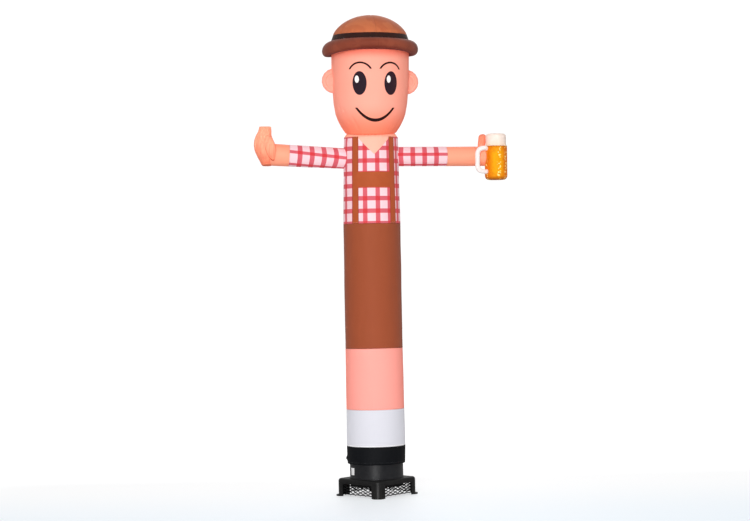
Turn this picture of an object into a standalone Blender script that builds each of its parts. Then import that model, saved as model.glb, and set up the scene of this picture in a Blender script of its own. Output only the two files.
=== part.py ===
"""Inflatable air dancer: a tube figure of sewn cloth panels that stands on a black blower.

Metres, +Z up. The figure faces -Y with its arms along X, and it bows a little forward.
Every cloth panel is a thin open shell, so the air runs from the blower into all of them.
"""

import math

import bmesh
import bpy
from mathutils import Matrix, Vector

# Cloth, the gap between two pieces, and how fine round shapes are
CLOTH = 0.001
GAP = 0.0003
TURNED_STEPS = 32
ARM_STEPS = 24
ROUND_STEPS = 3
SMOOTH_ANGLE = math.radians(35)

# How far a cutter reaches past what it cuts, and the distance under which points are one
REACH_PAST = 0.010
WELD = 0.00005

# The blower's axis from the origin, which is under the middle of the whole
AXIS_X = -0.105
AXIS_Y = 0.105

# Forward bow: the figure is straight up to BOW_START, then follows an arc of BOW_RADIUS
BOW_START = 1.35
BOW_RADIUS = 28.2

# Heights of the seams, measured along the figure
SKIRT_HEM = 0.300
SKIRT_TOP = 0.466
SOCK_TOP = 0.807
LEG_TOP = 1.374
WAIST = 2.547
SHIRT_TOP = 3.362
NECK_SEAM = 3.414
HEAD_TOP = 4.163
BRIM_TOP = 4.271
BAND_TOP = 4.319
HAT_TOP = 4.511

# Radii at those seams, and where the skirt bellies and the chest starts to narrow
HEM_RADIUS = 0.271
SKIRT_BELLY = 0.335
SKIRT_BELLY_RADIUS = 0.2735
ANKLE_RADIUS = 0.2765
CALF_RADIUS = 0.273
TUBE_RADIUS = 0.270
CHEST = 3.020
CHEST_RADIUS = 0.262
SHOULDER_RADIUS = 0.2545
SHOULDER_ROWS = 4
NECK_RADIUS = 0.2165
HEAD_RADIUS = 0.366
HAT_RADIUS = 0.3485

# The hat brim's roll: how far it stands out, and how it sags at the sides of the head
BRIM_REACH = 0.087
BRIM_ROWS = 8
LEFT_BRIM_SAG = 0.044
RIGHT_BRIM_SAG = 0.030
BRIM_SIDE_FULLNESS = 0.5
DOME_ROWS = 6
DOME_POWER = 1.38

# Head, from the neck seam up: height above the seam, radius
HEAD_ROWS = (
    (0.000, NECK_RADIUS),
    (0.028, 0.251),
    (0.074, 0.286),
    (0.121, 0.312),
    (0.168, 0.330),
    (0.267, 0.347),
    (0.360, 0.354),
    (0.430, 0.359),
    (0.500, 0.3615),
    (0.600, 0.3645),
    (HEAD_TOP - NECK_SEAM, HEAD_RADIUS),
)

# Ears: flat lobes on the sides of the head
LEFT_EAR_HEIGHT = 3.895
RIGHT_EAR_HEIGHT = 3.886
EAR_CENTRE = 0.340
EAR_SIZE = (0.120, 0.050, 0.117)
EAR_SEGMENTS = 16
EAR_RINGS = 10

# Arms: height at the figure's axis, slope, radius at the shoulder and cuff
LEFT_HEIGHT = 3.151
RIGHT_HEIGHT = 3.182
LEFT_RISE = math.radians(3.3)
RIGHT_RISE = 0.0
LEFT_RADII = (0.097, 0.1015)
RIGHT_RADII = (0.092, 0.0925)
LEFT_CUFF = 0.779
RIGHT_CUFF = 0.720
WRIST = 0.996

# Thumbs-up hand, from its lower end up: height, centre, half width, half depth
HAND_ROWS = (
    (3.099, -0.985, 0.034, 0.038),
    (3.109, -0.985, 0.048, 0.060),
    (3.142, -0.986, 0.062, 0.090),
    (3.183, -0.990, 0.079, 0.107),
    (3.239, -0.999, 0.095, 0.108),
    (3.286, -1.004, 0.099, 0.098),
    (3.320, -1.008, 0.094, 0.085),
    (3.351, -1.012, 0.084, 0.072),
    (3.388, -1.010, 0.070, 0.060),
    (3.425, -1.000, 0.060, 0.053),
    (3.467, -0.996, 0.053, 0.048),
)
HAND_STEPS = 20

# Thumb of the other hand, and the mug it holds
THUMB_X = 1.062
THUMB_RADIUS = 0.036
THUMB_TOP = 3.394
THUMB_CORNER = 0.030
THUMB_STEPS = 16
PALM_END = 1.196
PALM_CORNER = 0.055
MUG_X = 1.195
MUG_Y = -0.055
MUG_RADIUS = 0.107
MUG_BOTTOM = 2.953
MUG_RIM = 3.276
MUG_CORNER = 0.040
MUG_WALL_ROWS = 3
FOAM_RADIUS = 0.096
FOAM_SHOULDER = 0.007
FOAM_TOP = 3.394
FOAM_CORNER = 0.028

# The mug's handle: a bar in front of the hand, with an arm to the mug at each end
HANDLE_X = 1.001
HANDLE_Y = -0.128
HANDLE_TOP = 3.250
HANDLE_BOTTOM = 3.035
HANDLE_RADIUS = 0.023

# Its arm, from the mug's wall to the bar: distance beyond the bar in X and in Y, and outwards in Z
HANDLE_ARM = (
    (0.112, 0.030, 0.000),
    (0.070, 0.008, 0.005),
    (0.022, 0.000, -0.006),
    (0.000, 0.000, -0.042),
)

# Blower: a rounded square base on four corner posts, with a drum on it. Part of the back left
# window, beside the left corner, is closed wall.
BASE_SIDE = 0.545
BASE_HEIGHT = 0.163
BASE_CORNER = 0.060
BASE_WALL = 0.006
BASE_EDGE = 0.024
CORNER_STEPS = 5
EDGE_STEPS = 3
BASE_TURN = math.radians(39)
POST_WIDTH = 0.090
CLOSED_WIDTH = 0.092
WINDOW_TOP = 0.116
FOOT_REACH = 0.022
FOOT_THICKNESS = 0.012
FOOT_SEGMENTS = 24
INLET_RADIUS = 0.225
INLET_RING_RADIUS = 0.250
INLET_RING_BOTTOM = 0.120
DRUM_RADIUS = 0.251
DRUM_WALL = 0.004
DRUM_NECK = 0.395
DRUM_FLARE = 0.407
DRUM_TOP = 0.425
DRUM_LIP_RADIUS = 0.2739

# Wire grilles in the base's four windows
GRILLE_THICKNESS = 0.002
GRILLE_MARGIN = 0.010
GRILLE_BOTTOM = 0.018
GRILLE_EDGE = 0.006
CELL_WIDTH = 0.058
CELL_HEIGHT = 0.032
CELL_WIRE = 0.005

# Base colour, roughness and metallic value of each material
MATERIALS = {
    "black_cloth": ((0.012, 0.012, 0.014), 0.75, 0.0),
    "white_cloth": ((0.80, 0.80, 0.84), 0.7, 0.0),
    "skin_cloth": ((0.90, 0.42, 0.30), 0.7, 0.0),
    "brown_cloth": ((0.30, 0.10, 0.045), 0.75, 0.0),
    "check_cloth": ((0.85, 0.55, 0.58), 0.7, 0.0),
    "hat_cloth": ((0.36, 0.15, 0.09), 0.75, 0.0),
    "band_cloth": ((0.03, 0.012, 0.01), 0.75, 0.0),
    "mug_cloth": ((0.85, 0.36, 0.02), 0.6, 0.0),
    "foam_cloth": ((0.90, 0.84, 0.76), 0.7, 0.0),
    "black_plastic": ((0.015, 0.015, 0.017), 0.45, 0.0),
    "black_wire": ((0.02, 0.02, 0.022), 0.4, 0.6),
}


def new_collection(name):
    collection = bpy.data.collections.new(name)
    bpy.context.scene.collection.children.link(collection)
    return collection


def new_material(name):
    colour, roughness, metallic = MATERIALS[name]
    material = bpy.data.materials.new(name)
    material.use_nodes = True
    shader = material.node_tree.nodes["Principled BSDF"]
    shader.inputs["Base Color"].default_value = (*colour, 1)
    shader.inputs["Roughness"].default_value = roughness
    shader.inputs["Metallic"].default_value = metallic
    return material


for old in list(bpy.data.objects):
    bpy.data.objects.remove(old)
PARTS = new_collection("air_dancer")
CUTTERS = new_collection("cutters")
PAINTS = {name: new_material(name) for name in MATERIALS}
AXIS = bpy.data.objects.new("blower_axis", None)
AXIS.location = (AXIS_X, AXIS_Y, 0)
PARTS.objects.link(AXIS)


# ---- Tools ---------------------------------------------------------------------------


def new_part(name, mesh, material):
    """One node of the part, in the blower's axes."""
    part = bpy.data.objects.new(name, mesh)
    mesh.materials.clear()
    mesh.materials.append(PAINTS[material])
    PARTS.objects.link(part)
    part.parent = AXIS
    return part


def new_cutter(name, mesh):
    """A solid that cuts or joins a part and isn't built itself."""
    cutter = bpy.data.objects.new(name, mesh)
    CUTTERS.objects.link(cutter)
    cutter.parent = AXIS
    cutter.hide_render = True
    cutter.display_type = "WIRE"
    return cutter


def evaluated_mesh(thing):
    depsgraph = bpy.context.evaluated_depsgraph_get()
    return bpy.data.meshes.new_from_object(thing.evaluated_get(depsgraph))


def combine(part, mesh, operation, name):
    """Adds a Boolean of the part with a new cutter made from the mesh."""
    modifier = part.modifiers.new(name, "BOOLEAN")
    modifier.operation = operation
    modifier.object = new_cutter(f"{part.name}_{name}", mesh)


def apply_modifiers(part):
    """Replaces the part's mesh with its evaluated one."""
    paint = part.data.materials[0]
    mesh = evaluated_mesh(part)
    mesh.materials.clear()
    mesh.materials.append(paint)
    part.modifiers.clear()
    part.data = mesh


def inward(rows):
    """Mitred inward normals of an outline of (radius, height) points that runs upwards."""
    points = [Vector(row) for row in rows]
    directions = [(b - a).normalized() for a, b in zip(points, points[1:])]
    before = [directions[0], *directions]
    after = [*directions, directions[-1]]
    normals = []
    for first, second, point in zip(before, after, points):
        sides = Vector((-first.y, first.x)), Vector((-second.y, second.x))
        mitre = (sides[0] + sides[1]) / (1 + sides[0].dot(sides[1]))
        if point.x == 0:
            mitre = Vector((0, math.copysign(1, mitre.y)))
        normals.append(mitre)
    return normals


def turned(points, steps):
    """Mesh of the (radius, height) points turned round Z, a ring if no point is on the axis."""
    is_ring = min(point[0] for point in points) > 0
    corners = range(len(points) if is_ring else len(points) - 1)
    profile = bpy.data.meshes.new("profile")
    vertices = [(radius, 0, height) for radius, height in points]
    profile.from_pydata(vertices, [(i, (i + 1) % len(points)) for i in corners], [])
    holder = new_cutter("profile", profile)
    screw = holder.modifiers.new("Turn", "SCREW")
    screw.steps = steps
    screw.render_steps = steps
    screw.use_merge_vertices = True
    screw.merge_threshold = 0.0001
    mesh = evaluated_mesh(holder)
    bpy.data.objects.remove(holder)
    return mesh


def turned_solid(rows, steps, inset=0.0):
    """Filled solid of revolution, its outline moved inwards by the inset."""
    moved = [Vector(row) + normal * inset for row, normal in zip(rows, inward(rows))]
    points = [tuple(point) for point in reversed(moved)]
    if points[0][0] > 0:
        points.insert(0, (0, points[0][1]))
    if points[-1][0] > 0:
        points.append((0, points[-1][1]))
    return turned(points, steps)


def wall_profile(outer, inner):
    """Both sides of a wall as one profile: a ring, or open at the axis where the wall ends there."""
    down = [tuple(point) for point in reversed(outer)]
    up = [tuple(point) for point in inner]
    return down + up if outer[-1][0] == 0 else up + down


def turned_shell(rows, steps, thickness=CLOTH):
    """Thin wall under an outline that runs upwards; it is open where no end is on the axis."""
    inner = [Vector(row) + normal * thickness for row, normal in zip(rows, inward(rows))]
    return turned(wall_profile(rows, inner), steps)


def split_at_seams(panels):
    """Each panel's own wall section, parted from the next panel's by the gap.

    The inner side is worked out on the whole outline, so that walls meet in a mitre.
    """
    outline = [panels[0][2][0]]
    for _, _, rows in panels:
        outline.extend(rows[1:])
    normals = inward(outline)
    start = 0
    for name, material, rows in panels:
        end = start + len(rows) - 1
        outer = [Vector(row) for row in rows]
        inner = [a + n * CLOTH for a, n in zip(outer, normals[start : end + 1])]
        for at, near, seam in ((0, 1, start), (-1, -2, end)):
            if rows[at][0] > 0:
                along = (outer[near] - outer[at]).normalized()
                step = along * normals[seam].length * GAP / 2
                outer[at] = outer[at] + step
                inner[at] = inner[at] + step
        yield name, material, wall_profile(outer, inner)
        start = end


def bow(part):
    """Bends the part forward with the figure, about a line along X behind BOW_RADIUS."""
    for vertex in part.data.vertices:
        x, y, height = vertex.co
        if height > BOW_START:
            angle = (height - BOW_START) / BOW_RADIUS
            reach = BOW_RADIUS + y
            y = reach * math.cos(angle) - BOW_RADIUS
            height = BOW_START + reach * math.sin(angle)
            vertex.co = (x, y, height)


def shade(part):
    part.data.shade_smooth()
    part.data.set_sharp_from_angle(angle=SMOOTH_ANGLE)


# ---- The figure's tube: skirt to hat, as one outline ---------------------------------


def brim_rows():
    """Open roll between the head and the hat band, bulging outwards."""
    middle = (HEAD_TOP + BRIM_TOP) / 2
    half = (BRIM_TOP - HEAD_TOP) / 2
    angles = [math.pi * (i / BRIM_ROWS - 0.5) for i in range(BRIM_ROWS + 1)]
    return [(HEAD_RADIUS + BRIM_REACH * math.cos(a), middle + half * math.sin(a)) for a in angles]


def dome_rows():
    """Top of the hat, closed at the axis."""
    angles = [math.pi / 2 * i / DOME_ROWS for i in range(DOME_ROWS)]
    rows = [
        (HAT_RADIUS * math.cos(a), BAND_TOP + (HAT_TOP - BAND_TOP) * math.sin(a) ** DOME_POWER)
        for a in angles
    ]
    return [*rows, (0.0, HAT_TOP)]


def straight_rows(start, end, count):
    """Points along a straight wall, near enough to each other for it to follow the bow."""
    return [tuple(Vector(start).lerp(Vector(end), i / count)) for i in range(count + 1)]


HEAD_OUTLINE = [(radius, NECK_SEAM + height) for height, radius in HEAD_ROWS]
SHIRT_OUTLINE = [
    (TUBE_RADIUS, WAIST),
    *straight_rows((CHEST_RADIUS, CHEST), (SHOULDER_RADIUS, SHIRT_TOP), SHOULDER_ROWS),
]
SKIRT_OUTLINE = [
    (HEM_RADIUS, SKIRT_HEM),
    (SKIRT_BELLY_RADIUS, SKIRT_BELLY),
    (ANKLE_RADIUS, SKIRT_TOP),
]
TROUSERS_OUTLINE = straight_rows((TUBE_RADIUS, LEG_TOP), (TUBE_RADIUS, WAIST), 2)
PANELS = (
    ("skirt", "black_cloth", SKIRT_OUTLINE),
    ("sock_panel", "white_cloth", [(ANKLE_RADIUS, SKIRT_TOP), (CALF_RADIUS, SOCK_TOP)]),
    ("leg_panel", "skin_cloth", [(CALF_RADIUS, SOCK_TOP), (TUBE_RADIUS, LEG_TOP)]),
    ("trousers_panel", "brown_cloth", TROUSERS_OUTLINE),
    ("shirt_panel", "check_cloth", SHIRT_OUTLINE),
    ("neck_panel", "skin_cloth", [(SHOULDER_RADIUS, SHIRT_TOP), (NECK_RADIUS, NECK_SEAM)]),
    ("head_panel", "skin_cloth", HEAD_OUTLINE),
    ("hat_brim", "hat_cloth", brim_rows()),
    ("hat_band", "band_cloth", [(HEAD_RADIUS, BRIM_TOP), (HAT_RADIUS, BAND_TOP)]),
    ("hat_top", "hat_cloth", dome_rows()),
)


def sag_brim(brim):
    """Fills out the roll at the sides of the head and lets it sag there."""
    middle = (HEAD_TOP + BRIM_TOP) / 2
    for vertex in brim.data.vertices:
        radius = math.hypot(vertex.co.x, vertex.co.y)
        bulge = max(0.0, (radius - HEAD_RADIUS - CLOTH) / BRIM_REACH)
        side = (vertex.co.x / radius) ** 2 * math.sqrt(min(1.0, bulge))
        fuller = (vertex.co.z - middle) * BRIM_SIDE_FULLNESS * side
        sag = LEFT_BRIM_SAG if vertex.co.x < 0 else RIGHT_BRIM_SAG
        vertex.co.z += fuller - sag * side


def build_figure():
    tube = {}
    for name, material, points in split_at_seams(PANELS):
        tube[name] = new_part(name, turned(points, TURNED_STEPS), material)
    sag_brim(tube["hat_brim"])
    return tube


# ---- Ears ----------------------------------------------------------------------------


def ear_mesh(side, height, inset):
    ear = bmesh.new()
    bmesh.ops.create_uvsphere(ear, u_segments=EAR_SEGMENTS, v_segments=EAR_RINGS, radius=1)
    size = [length - inset for length in EAR_SIZE]
    bmesh.ops.scale(ear, vec=size, verts=ear.verts)
    bmesh.ops.translate(ear, vec=(side * EAR_CENTRE, 0, height), verts=ear.verts)
    mesh = bpy.data.meshes.new("ear")
    ear.to_mesh(mesh)
    ear.free()
    return mesh


def build_ear(name, side, height, head):
    ear = new_part(name, ear_mesh(side, height, 0), "skin_cloth")
    combine(ear, ear_mesh(side, height, CLOTH), "DIFFERENCE", "inside")
    combine(ear, turned_solid(HEAD_OUTLINE, TURNED_STEPS, -GAP), "DIFFERENCE", "head")
    combine(head, ear_mesh(side, height, CLOTH), "DIFFERENCE", f"{name}_hole")
    return ear


# ---- Arms ----------------------------------------------------------------------------


def arm_frame(side, height, rise):
    """Local Z runs from the figure's axis out along the arm."""
    direction = Vector((side * math.cos(rise), 0, math.sin(rise)))
    turn = direction.to_track_quat("Z", "Y").to_matrix().to_4x4()
    return Matrix.Translation((0, 0, height)) @ turn


def arm_rows(radii, cuff, start, end):
    """Outline of an arm's tube between two distances from the figure's axis."""
    shoulder, wide = radii
    slope = (wide - shoulder) / (cuff - TUBE_RADIUS)
    return [(shoulder + slope * (along - TUBE_RADIUS), along) for along in (start, end)]


def arm_tube(frame, rows):
    mesh = turned_shell(rows, ARM_STEPS)
    mesh.transform(frame)
    return mesh


def arm_solid(frame, rows, inset):
    mesh = turned_solid(rows, ARM_STEPS, inset)
    mesh.transform(frame)
    return mesh


def build_sleeve(name, frame, radii, cuff, shirt):
    inside_shirt = TUBE_RADIUS / 2
    rows = arm_rows(radii, cuff, inside_shirt, cuff - GAP / 2)
    sleeve = new_part(name, arm_tube(frame, rows), "check_cloth")
    combine(sleeve, turned_solid(SHIRT_OUTLINE, TURNED_STEPS, -GAP), "DIFFERENCE", "shirt")
    combine(shirt, arm_solid(frame, rows, CLOTH), "DIFFERENCE", f"{name}_hole")
    return sleeve


# ---- Thumbs-up hand ------------------------------------------------------------------


def hand_mesh(inset, top_rise=0.0):
    """Loft through the hand's oval sections; the top section may be raised to cut the vent."""
    rings = []
    for row, (height, centre, width, depth) in enumerate(HAND_ROWS):
        if row == 0:
            height += inset
        if row == len(HAND_ROWS) - 1:
            height += top_rise
        turns = [math.tau * (i + 0.5) / HAND_STEPS for i in range(HAND_STEPS)]
        rings.append(
            [
                (centre + (width - inset) * math.cos(a), (depth - inset) * math.sin(a), height)
                for a in turns
            ]
        )
    loft = bmesh.new()
    made = [[loft.verts.new(point) for point in ring] for ring in rings]
    loft.faces.new(reversed(made[0]))
    loft.faces.new(made[-1])
    for lower, upper in zip(made, made[1:]):
        for i in range(HAND_STEPS):
            after = (i + 1) % HAND_STEPS
            loft.faces.new((lower[i], lower[after], upper[after], upper[i]))
    mesh = bpy.data.meshes.new("hand")
    loft.to_mesh(mesh)
    loft.free()
    return mesh


def build_left_hand(frame):
    hand = new_part("thumb_hand", hand_mesh(0), "skin_cloth")
    centre = -HAND_ROWS[0][1]
    rows = arm_rows(LEFT_RADII, LEFT_CUFF, LEFT_CUFF + GAP / 2, centre)
    combine(hand, hand_mesh(CLOTH, top_rise=REACH_PAST), "DIFFERENCE", "inside")
    combine(hand, arm_solid(frame, rows, CLOTH), "DIFFERENCE", "wrist_hole")
    forearm = new_part("forearm_left", arm_tube(frame, rows), "skin_cloth")
    combine(forearm, hand_mesh(-GAP), "DIFFERENCE", "hand")
    return [hand, forearm]


# ---- Mug, and the hand that holds it --------------------------------------------------


def corner_rows(radius, height, corner, side):
    """Quarter round from the axis to the wall (side -1) or from the wall to the axis (side 1)."""
    angles = [math.pi / 2 * i / ROUND_STEPS for i in range(ROUND_STEPS + 1)]
    rows = [
        (radius - corner + corner * math.cos(a), height + side * corner * (math.sin(a) - 1))
        for a in angles
    ]
    rows.append((0.0, height))
    return rows if side > 0 else rows[::-1]


def mug_rows():
    wall = (MUG_RADIUS, MUG_BOTTOM + MUG_CORNER), (MUG_RADIUS, MUG_RIM)
    corner = corner_rows(MUG_RADIUS, MUG_BOTTOM, MUG_CORNER, -1)
    return [*corner, *straight_rows(*wall, MUG_WALL_ROWS)[1:]]


def foam_rows():
    """From the mug's rim over a narrow shoulder to the foam's closed top."""
    shoulder = [(MUG_RADIUS, MUG_RIM), (FOAM_RADIUS, MUG_RIM + FOAM_SHOULDER)]
    return [*shoulder, *corner_rows(FOAM_RADIUS, FOAM_TOP, FOAM_CORNER, 1)]


def at_mug(mesh):
    mesh.transform(Matrix.Translation((MUG_X, MUG_Y, 0)))
    return mesh


def mug_cutter():
    return at_mug(turned_solid(mug_rows(), ARM_STEPS, -GAP))


def thumb_mesh(inset):
    top = corner_rows(THUMB_RADIUS, THUMB_TOP, THUMB_CORNER, 1)
    mesh = turned_solid([(THUMB_RADIUS, RIGHT_HEIGHT), *top], THUMB_STEPS, inset)
    mesh.transform(Matrix.Translation((THUMB_X, 0, 0)))
    return mesh


def palm_solid(frame, start, inset):
    """The palm's tube from its wrist seam to its rounded end beside the mug."""
    wrist, end = arm_rows(RIGHT_RADII, RIGHT_CUFF, start, PALM_END)
    return arm_solid(frame, [wrist, *corner_rows(end[0], PALM_END, PALM_CORNER, 1)], inset)


def build_mug(frame):
    panels = ("mug", "mug_cloth", mug_rows()), ("mug_foam", "foam_cloth", foam_rows())
    mug, foam = (
        new_part(name, at_mug(turned(points, ARM_STEPS)), material)
        for name, material, points in split_at_seams(panels)
    )
    combine(mug, palm_solid(frame, WRIST, CLOTH), "DIFFERENCE", "palm_hole")
    return [mug, foam]


def build_right_hand(frame):
    forearm_rows = arm_rows(RIGHT_RADII, RIGHT_CUFF, RIGHT_CUFF + GAP / 2, WRIST - GAP / 2)
    forearm = new_part("forearm_right", arm_tube(frame, forearm_rows), "skin_cloth")
    hand = new_part("mug_hand", palm_solid(frame, WRIST + GAP / 2, 0), "skin_cloth")
    combine(hand, thumb_mesh(0), "UNION", "thumb")
    combine(hand, mug_cutter(), "DIFFERENCE", "mug")
    combine(hand, palm_solid(frame, WRIST - REACH_PAST, CLOTH), "DIFFERENCE", "inside")
    combine(hand.modifiers["inside"].object, thumb_mesh(CLOTH), "UNION", "thumb")
    return [forearm, hand]


def handle_route():
    """Points of the C: out from the mug's wall, down the bar and back to the wall."""
    upper = [(HANDLE_X + x, HANDLE_Y + y, HANDLE_TOP + z) for x, y, z in HANDLE_ARM]
    lower = [(HANDLE_X + x, HANDLE_Y + y, HANDLE_BOTTOM - z) for x, y, z in reversed(HANDLE_ARM)]
    middle = (HANDLE_X, HANDLE_Y, (HANDLE_TOP + HANDLE_BOTTOM) / 2)
    return [*upper, middle, *lower]


def build_handle():
    """Filled roll along the handle's route, its two ends cut to the mug's wall."""
    route = handle_route()
    curve = bpy.data.curves.new("handle", "CURVE")
    curve.dimensions = "3D"
    curve.bevel_depth = HANDLE_RADIUS
    curve.bevel_resolution = 2
    curve.use_fill_caps = True
    spline = curve.splines.new("POLY")
    spline.points.add(len(route) - 1)
    for point, place in zip(spline.points, route):
        point.co = (*place, 1)
    guide = bpy.data.objects.new("handle_guide", curve)
    CUTTERS.objects.link(guide)
    mesh = evaluated_mesh(guide)
    bpy.data.objects.remove(guide)
    welded = bmesh.new()
    welded.from_mesh(mesh)
    bmesh.ops.remove_doubles(welded, verts=welded.verts, dist=WELD)
    welded.to_mesh(mesh)
    welded.free()
    handle = new_part("mug_handle", mesh, "white_cloth")
    combine(handle, mug_cutter(), "DIFFERENCE", "mug")
    return handle


# ---- Blower --------------------------------------------------------------------------


def block(side, bottom, top, corner=0.0, edge=0.0):
    """Square block with rounded upright corners and a rounded upper edge, where they are given."""
    middle = (top + bottom) / 2
    shape = bmesh.new()
    bmesh.ops.create_cube(shape, size=1)
    bmesh.ops.scale(shape, vec=(side, side, top - bottom), verts=shape.verts)
    bmesh.ops.translate(shape, vec=(0, 0, middle), verts=shape.verts)
    if corner:
        upright = [e for e in shape.edges if len({v.co.z > middle for v in e.verts}) == 2]
        bmesh.ops.bevel(
            shape, geom=upright, offset=corner, segments=CORNER_STEPS, profile=0.5, affect="EDGES"
        )
    if edge:
        upper = [e for e in shape.edges if min(v.co.z for v in e.verts) > middle]
        bmesh.ops.bevel(
            shape, geom=upper, offset=edge, segments=EDGE_STEPS, profile=0.5, affect="EDGES"
        )
    mesh = bpy.data.meshes.new("block")
    shape.to_mesh(mesh)
    shape.free()
    return mesh


def window_mesh(number):
    """Cutter for one window. The back left one stops short of the corner by CLOSED_WIDTH."""
    low = POST_WIDTH - BASE_SIDE / 2
    high = -low - (CLOSED_WIDTH if number == 3 else 0)
    cutter = block(1.0, -REACH_PAST, WINDOW_TOP)
    place = Matrix.Translation(((low + high) / 2, -0.5, 0)) @ Matrix.Diagonal((high - low, 1, 1, 1))
    cutter.transform(Matrix.Rotation((number - 1) * math.pi / 2, 4, "Z") @ place)
    return cutter


def feet_mesh():
    """Four round pads, each set outwards under its corner post."""
    feet = bmesh.new()
    reach = (BASE_SIDE / 2 - BASE_CORNER) * math.sqrt(2) + FOOT_REACH
    for number in range(4):
        place = (
            Matrix.Rotation(math.pi / 4 + number * math.pi / 2, 4, "Z")
            @ Matrix.Translation((reach, 0, FOOT_THICKNESS / 2))
        )
        bmesh.ops.create_cone(
            feet, cap_ends=True, segments=FOOT_SEGMENTS, radius1=BASE_CORNER, radius2=BASE_CORNER,
            depth=FOOT_THICKNESS, matrix=place,
        )
    mesh = bpy.data.meshes.new("feet")
    feet.to_mesh(mesh)
    feet.free()
    return mesh


def build_base():
    below = -REACH_PAST
    plate_bottom = BASE_HEIGHT - BASE_WALL
    plate_middle = BASE_HEIGHT - BASE_WALL / 2
    ring = [(INLET_RING_RADIUS, INLET_RING_BOTTOM), (INLET_RING_RADIUS, plate_middle)]
    hole = [(INLET_RADIUS, below), (INLET_RADIUS, BASE_HEIGHT + REACH_PAST)]
    inner_side = BASE_SIDE - 2 * BASE_WALL
    inner_corner = BASE_CORNER - BASE_WALL
    inner_edge = BASE_EDGE - BASE_WALL
    base = new_part(
        "blower_base", block(BASE_SIDE, 0, BASE_HEIGHT, BASE_CORNER, BASE_EDGE), "black_plastic"
    )
    inside = block(inner_side, below, plate_bottom, inner_corner, inner_edge)
    combine(base, feet_mesh(), "UNION", "feet")
    combine(base, inside, "DIFFERENCE", "inside")
    for number in (1, 2, 3, 4):
        combine(base, window_mesh(number), "DIFFERENCE", f"window_{number}")
    combine(base, turned_solid(ring, TURNED_STEPS), "UNION", "inlet_ring")
    combine(base, turned_solid(hole, TURNED_STEPS), "DIFFERENCE", "inlet")
    return base


def build_drum():
    rows = [
        (DRUM_RADIUS, BASE_HEIGHT + GAP),
        (DRUM_RADIUS, DRUM_NECK),
        (DRUM_LIP_RADIUS, DRUM_FLARE),
        (DRUM_LIP_RADIUS, DRUM_TOP),
    ]
    return new_part("blower_drum", turned_shell(rows, TURNED_STEPS, DRUM_WALL), "black_plastic")


def diamond_cells(width, height):
    """Diamond prisms in rows, every second row set half a cell aside, for a net's holes."""
    half_wide = (CELL_WIDTH - CELL_WIRE * CELL_WIDTH / CELL_HEIGHT) / 2
    half_high = half_wide * CELL_HEIGHT / CELL_WIDTH
    columns = math.ceil(width / CELL_WIDTH)
    rows = math.ceil(height / CELL_HEIGHT) * 2
    cells = bmesh.new()
    for row in range(-rows, rows + 1):
        offset = CELL_WIDTH / 2 * (row % 2)
        for column in range(-columns, columns + 1):
            x = column * CELL_WIDTH + offset
            z = row * CELL_HEIGHT / 2
            if abs(x) < (width + CELL_WIDTH) / 2 and abs(z) < (height + CELL_HEIGHT) / 2:
                place = Matrix.Translation((x, 0, z)) @ Matrix.Rotation(math.pi / 2, 4, "X")
                bmesh.ops.create_cone(
                    cells, cap_ends=True, segments=4, radius1=1, radius2=1, depth=1,
                    matrix=place @ Matrix.Diagonal((half_wide, half_high, REACH_PAST, 1)),
                )
    mesh = bpy.data.meshes.new("cells")
    cells.to_mesh(mesh)
    cells.free()
    return mesh


def slab(width, thickness, height):
    shape = bmesh.new()
    bmesh.ops.create_cube(shape, size=1)
    bmesh.ops.scale(shape, vec=(width, thickness, height), verts=shape.verts)
    mesh = bpy.data.meshes.new("slab")
    shape.to_mesh(mesh)
    shape.free()
    return mesh


def build_grilles():
    """Four copies of one net, each behind a window of the base."""
    width = BASE_SIDE - 2 * POST_WIDTH + 2 * GRILLE_MARGIN
    height = WINDOW_TOP + GRILLE_MARGIN - GRILLE_BOTTOM
    inner = (width - 2 * GRILLE_EDGE, height - 2 * GRILLE_EDGE)
    net = new_part("grille_1", slab(width, GRILLE_THICKNESS, height), "black_wire")
    combine(net, diamond_cells(*inner), "DIFFERENCE", "cells")
    cells = net.modifiers["cells"].object
    combine(cells, slab(inner[0], 2 * REACH_PAST, inner[1]), "INTERSECT", "field")
    apply_modifiers(net)
    face = BASE_SIDE / 2 - BASE_WALL - GAP - GRILLE_THICKNESS / 2
    net.data.transform(Matrix.Translation((0, -face, GRILLE_BOTTOM + height / 2)))
    nets = [net]
    for number in (2, 3, 4):
        copy = new_part(f"grille_{number}", net.data, "black_wire")
        copy.rotation_euler.z = BASE_TURN + (number - 1) * math.pi / 2
        nets.append(copy)
    net.rotation_euler.z = BASE_TURN
    return nets


# ---- Assembly ------------------------------------------------------------------------

figure = build_figure()
left_arm = arm_frame(-1, LEFT_HEIGHT, LEFT_RISE)
right_arm = arm_frame(1, RIGHT_HEIGHT, RIGHT_RISE)
cloth_parts = [
    *figure.values(),
    build_ear("ear_left", -1, LEFT_EAR_HEIGHT, figure["head_panel"]),
    build_ear("ear_right", 1, RIGHT_EAR_HEIGHT, figure["head_panel"]),
    build_sleeve("sleeve_left", left_arm, LEFT_RADII, LEFT_CUFF, figure["shirt_panel"]),
    build_sleeve("sleeve_right", right_arm, RIGHT_RADII, RIGHT_CUFF, figure["shirt_panel"]),
    *build_left_hand(left_arm),
    *build_right_hand(right_arm),
    *build_mug(right_arm),
    build_handle(),
]
for cloth_part in cloth_parts:
    apply_modifiers(cloth_part)
    bow(cloth_part)
    shade(cloth_part)

blower_base = build_base()
apply_modifiers(blower_base)
blower_base.rotation_euler.z = BASE_TURN
shade(blower_base)
shade(build_drum())
build_grilles()
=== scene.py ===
"""Inflatable air dancer on its blower: the cloth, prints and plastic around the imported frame."""

import math

import bmesh
import bpy
from mathutils import Matrix, Vector


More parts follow.
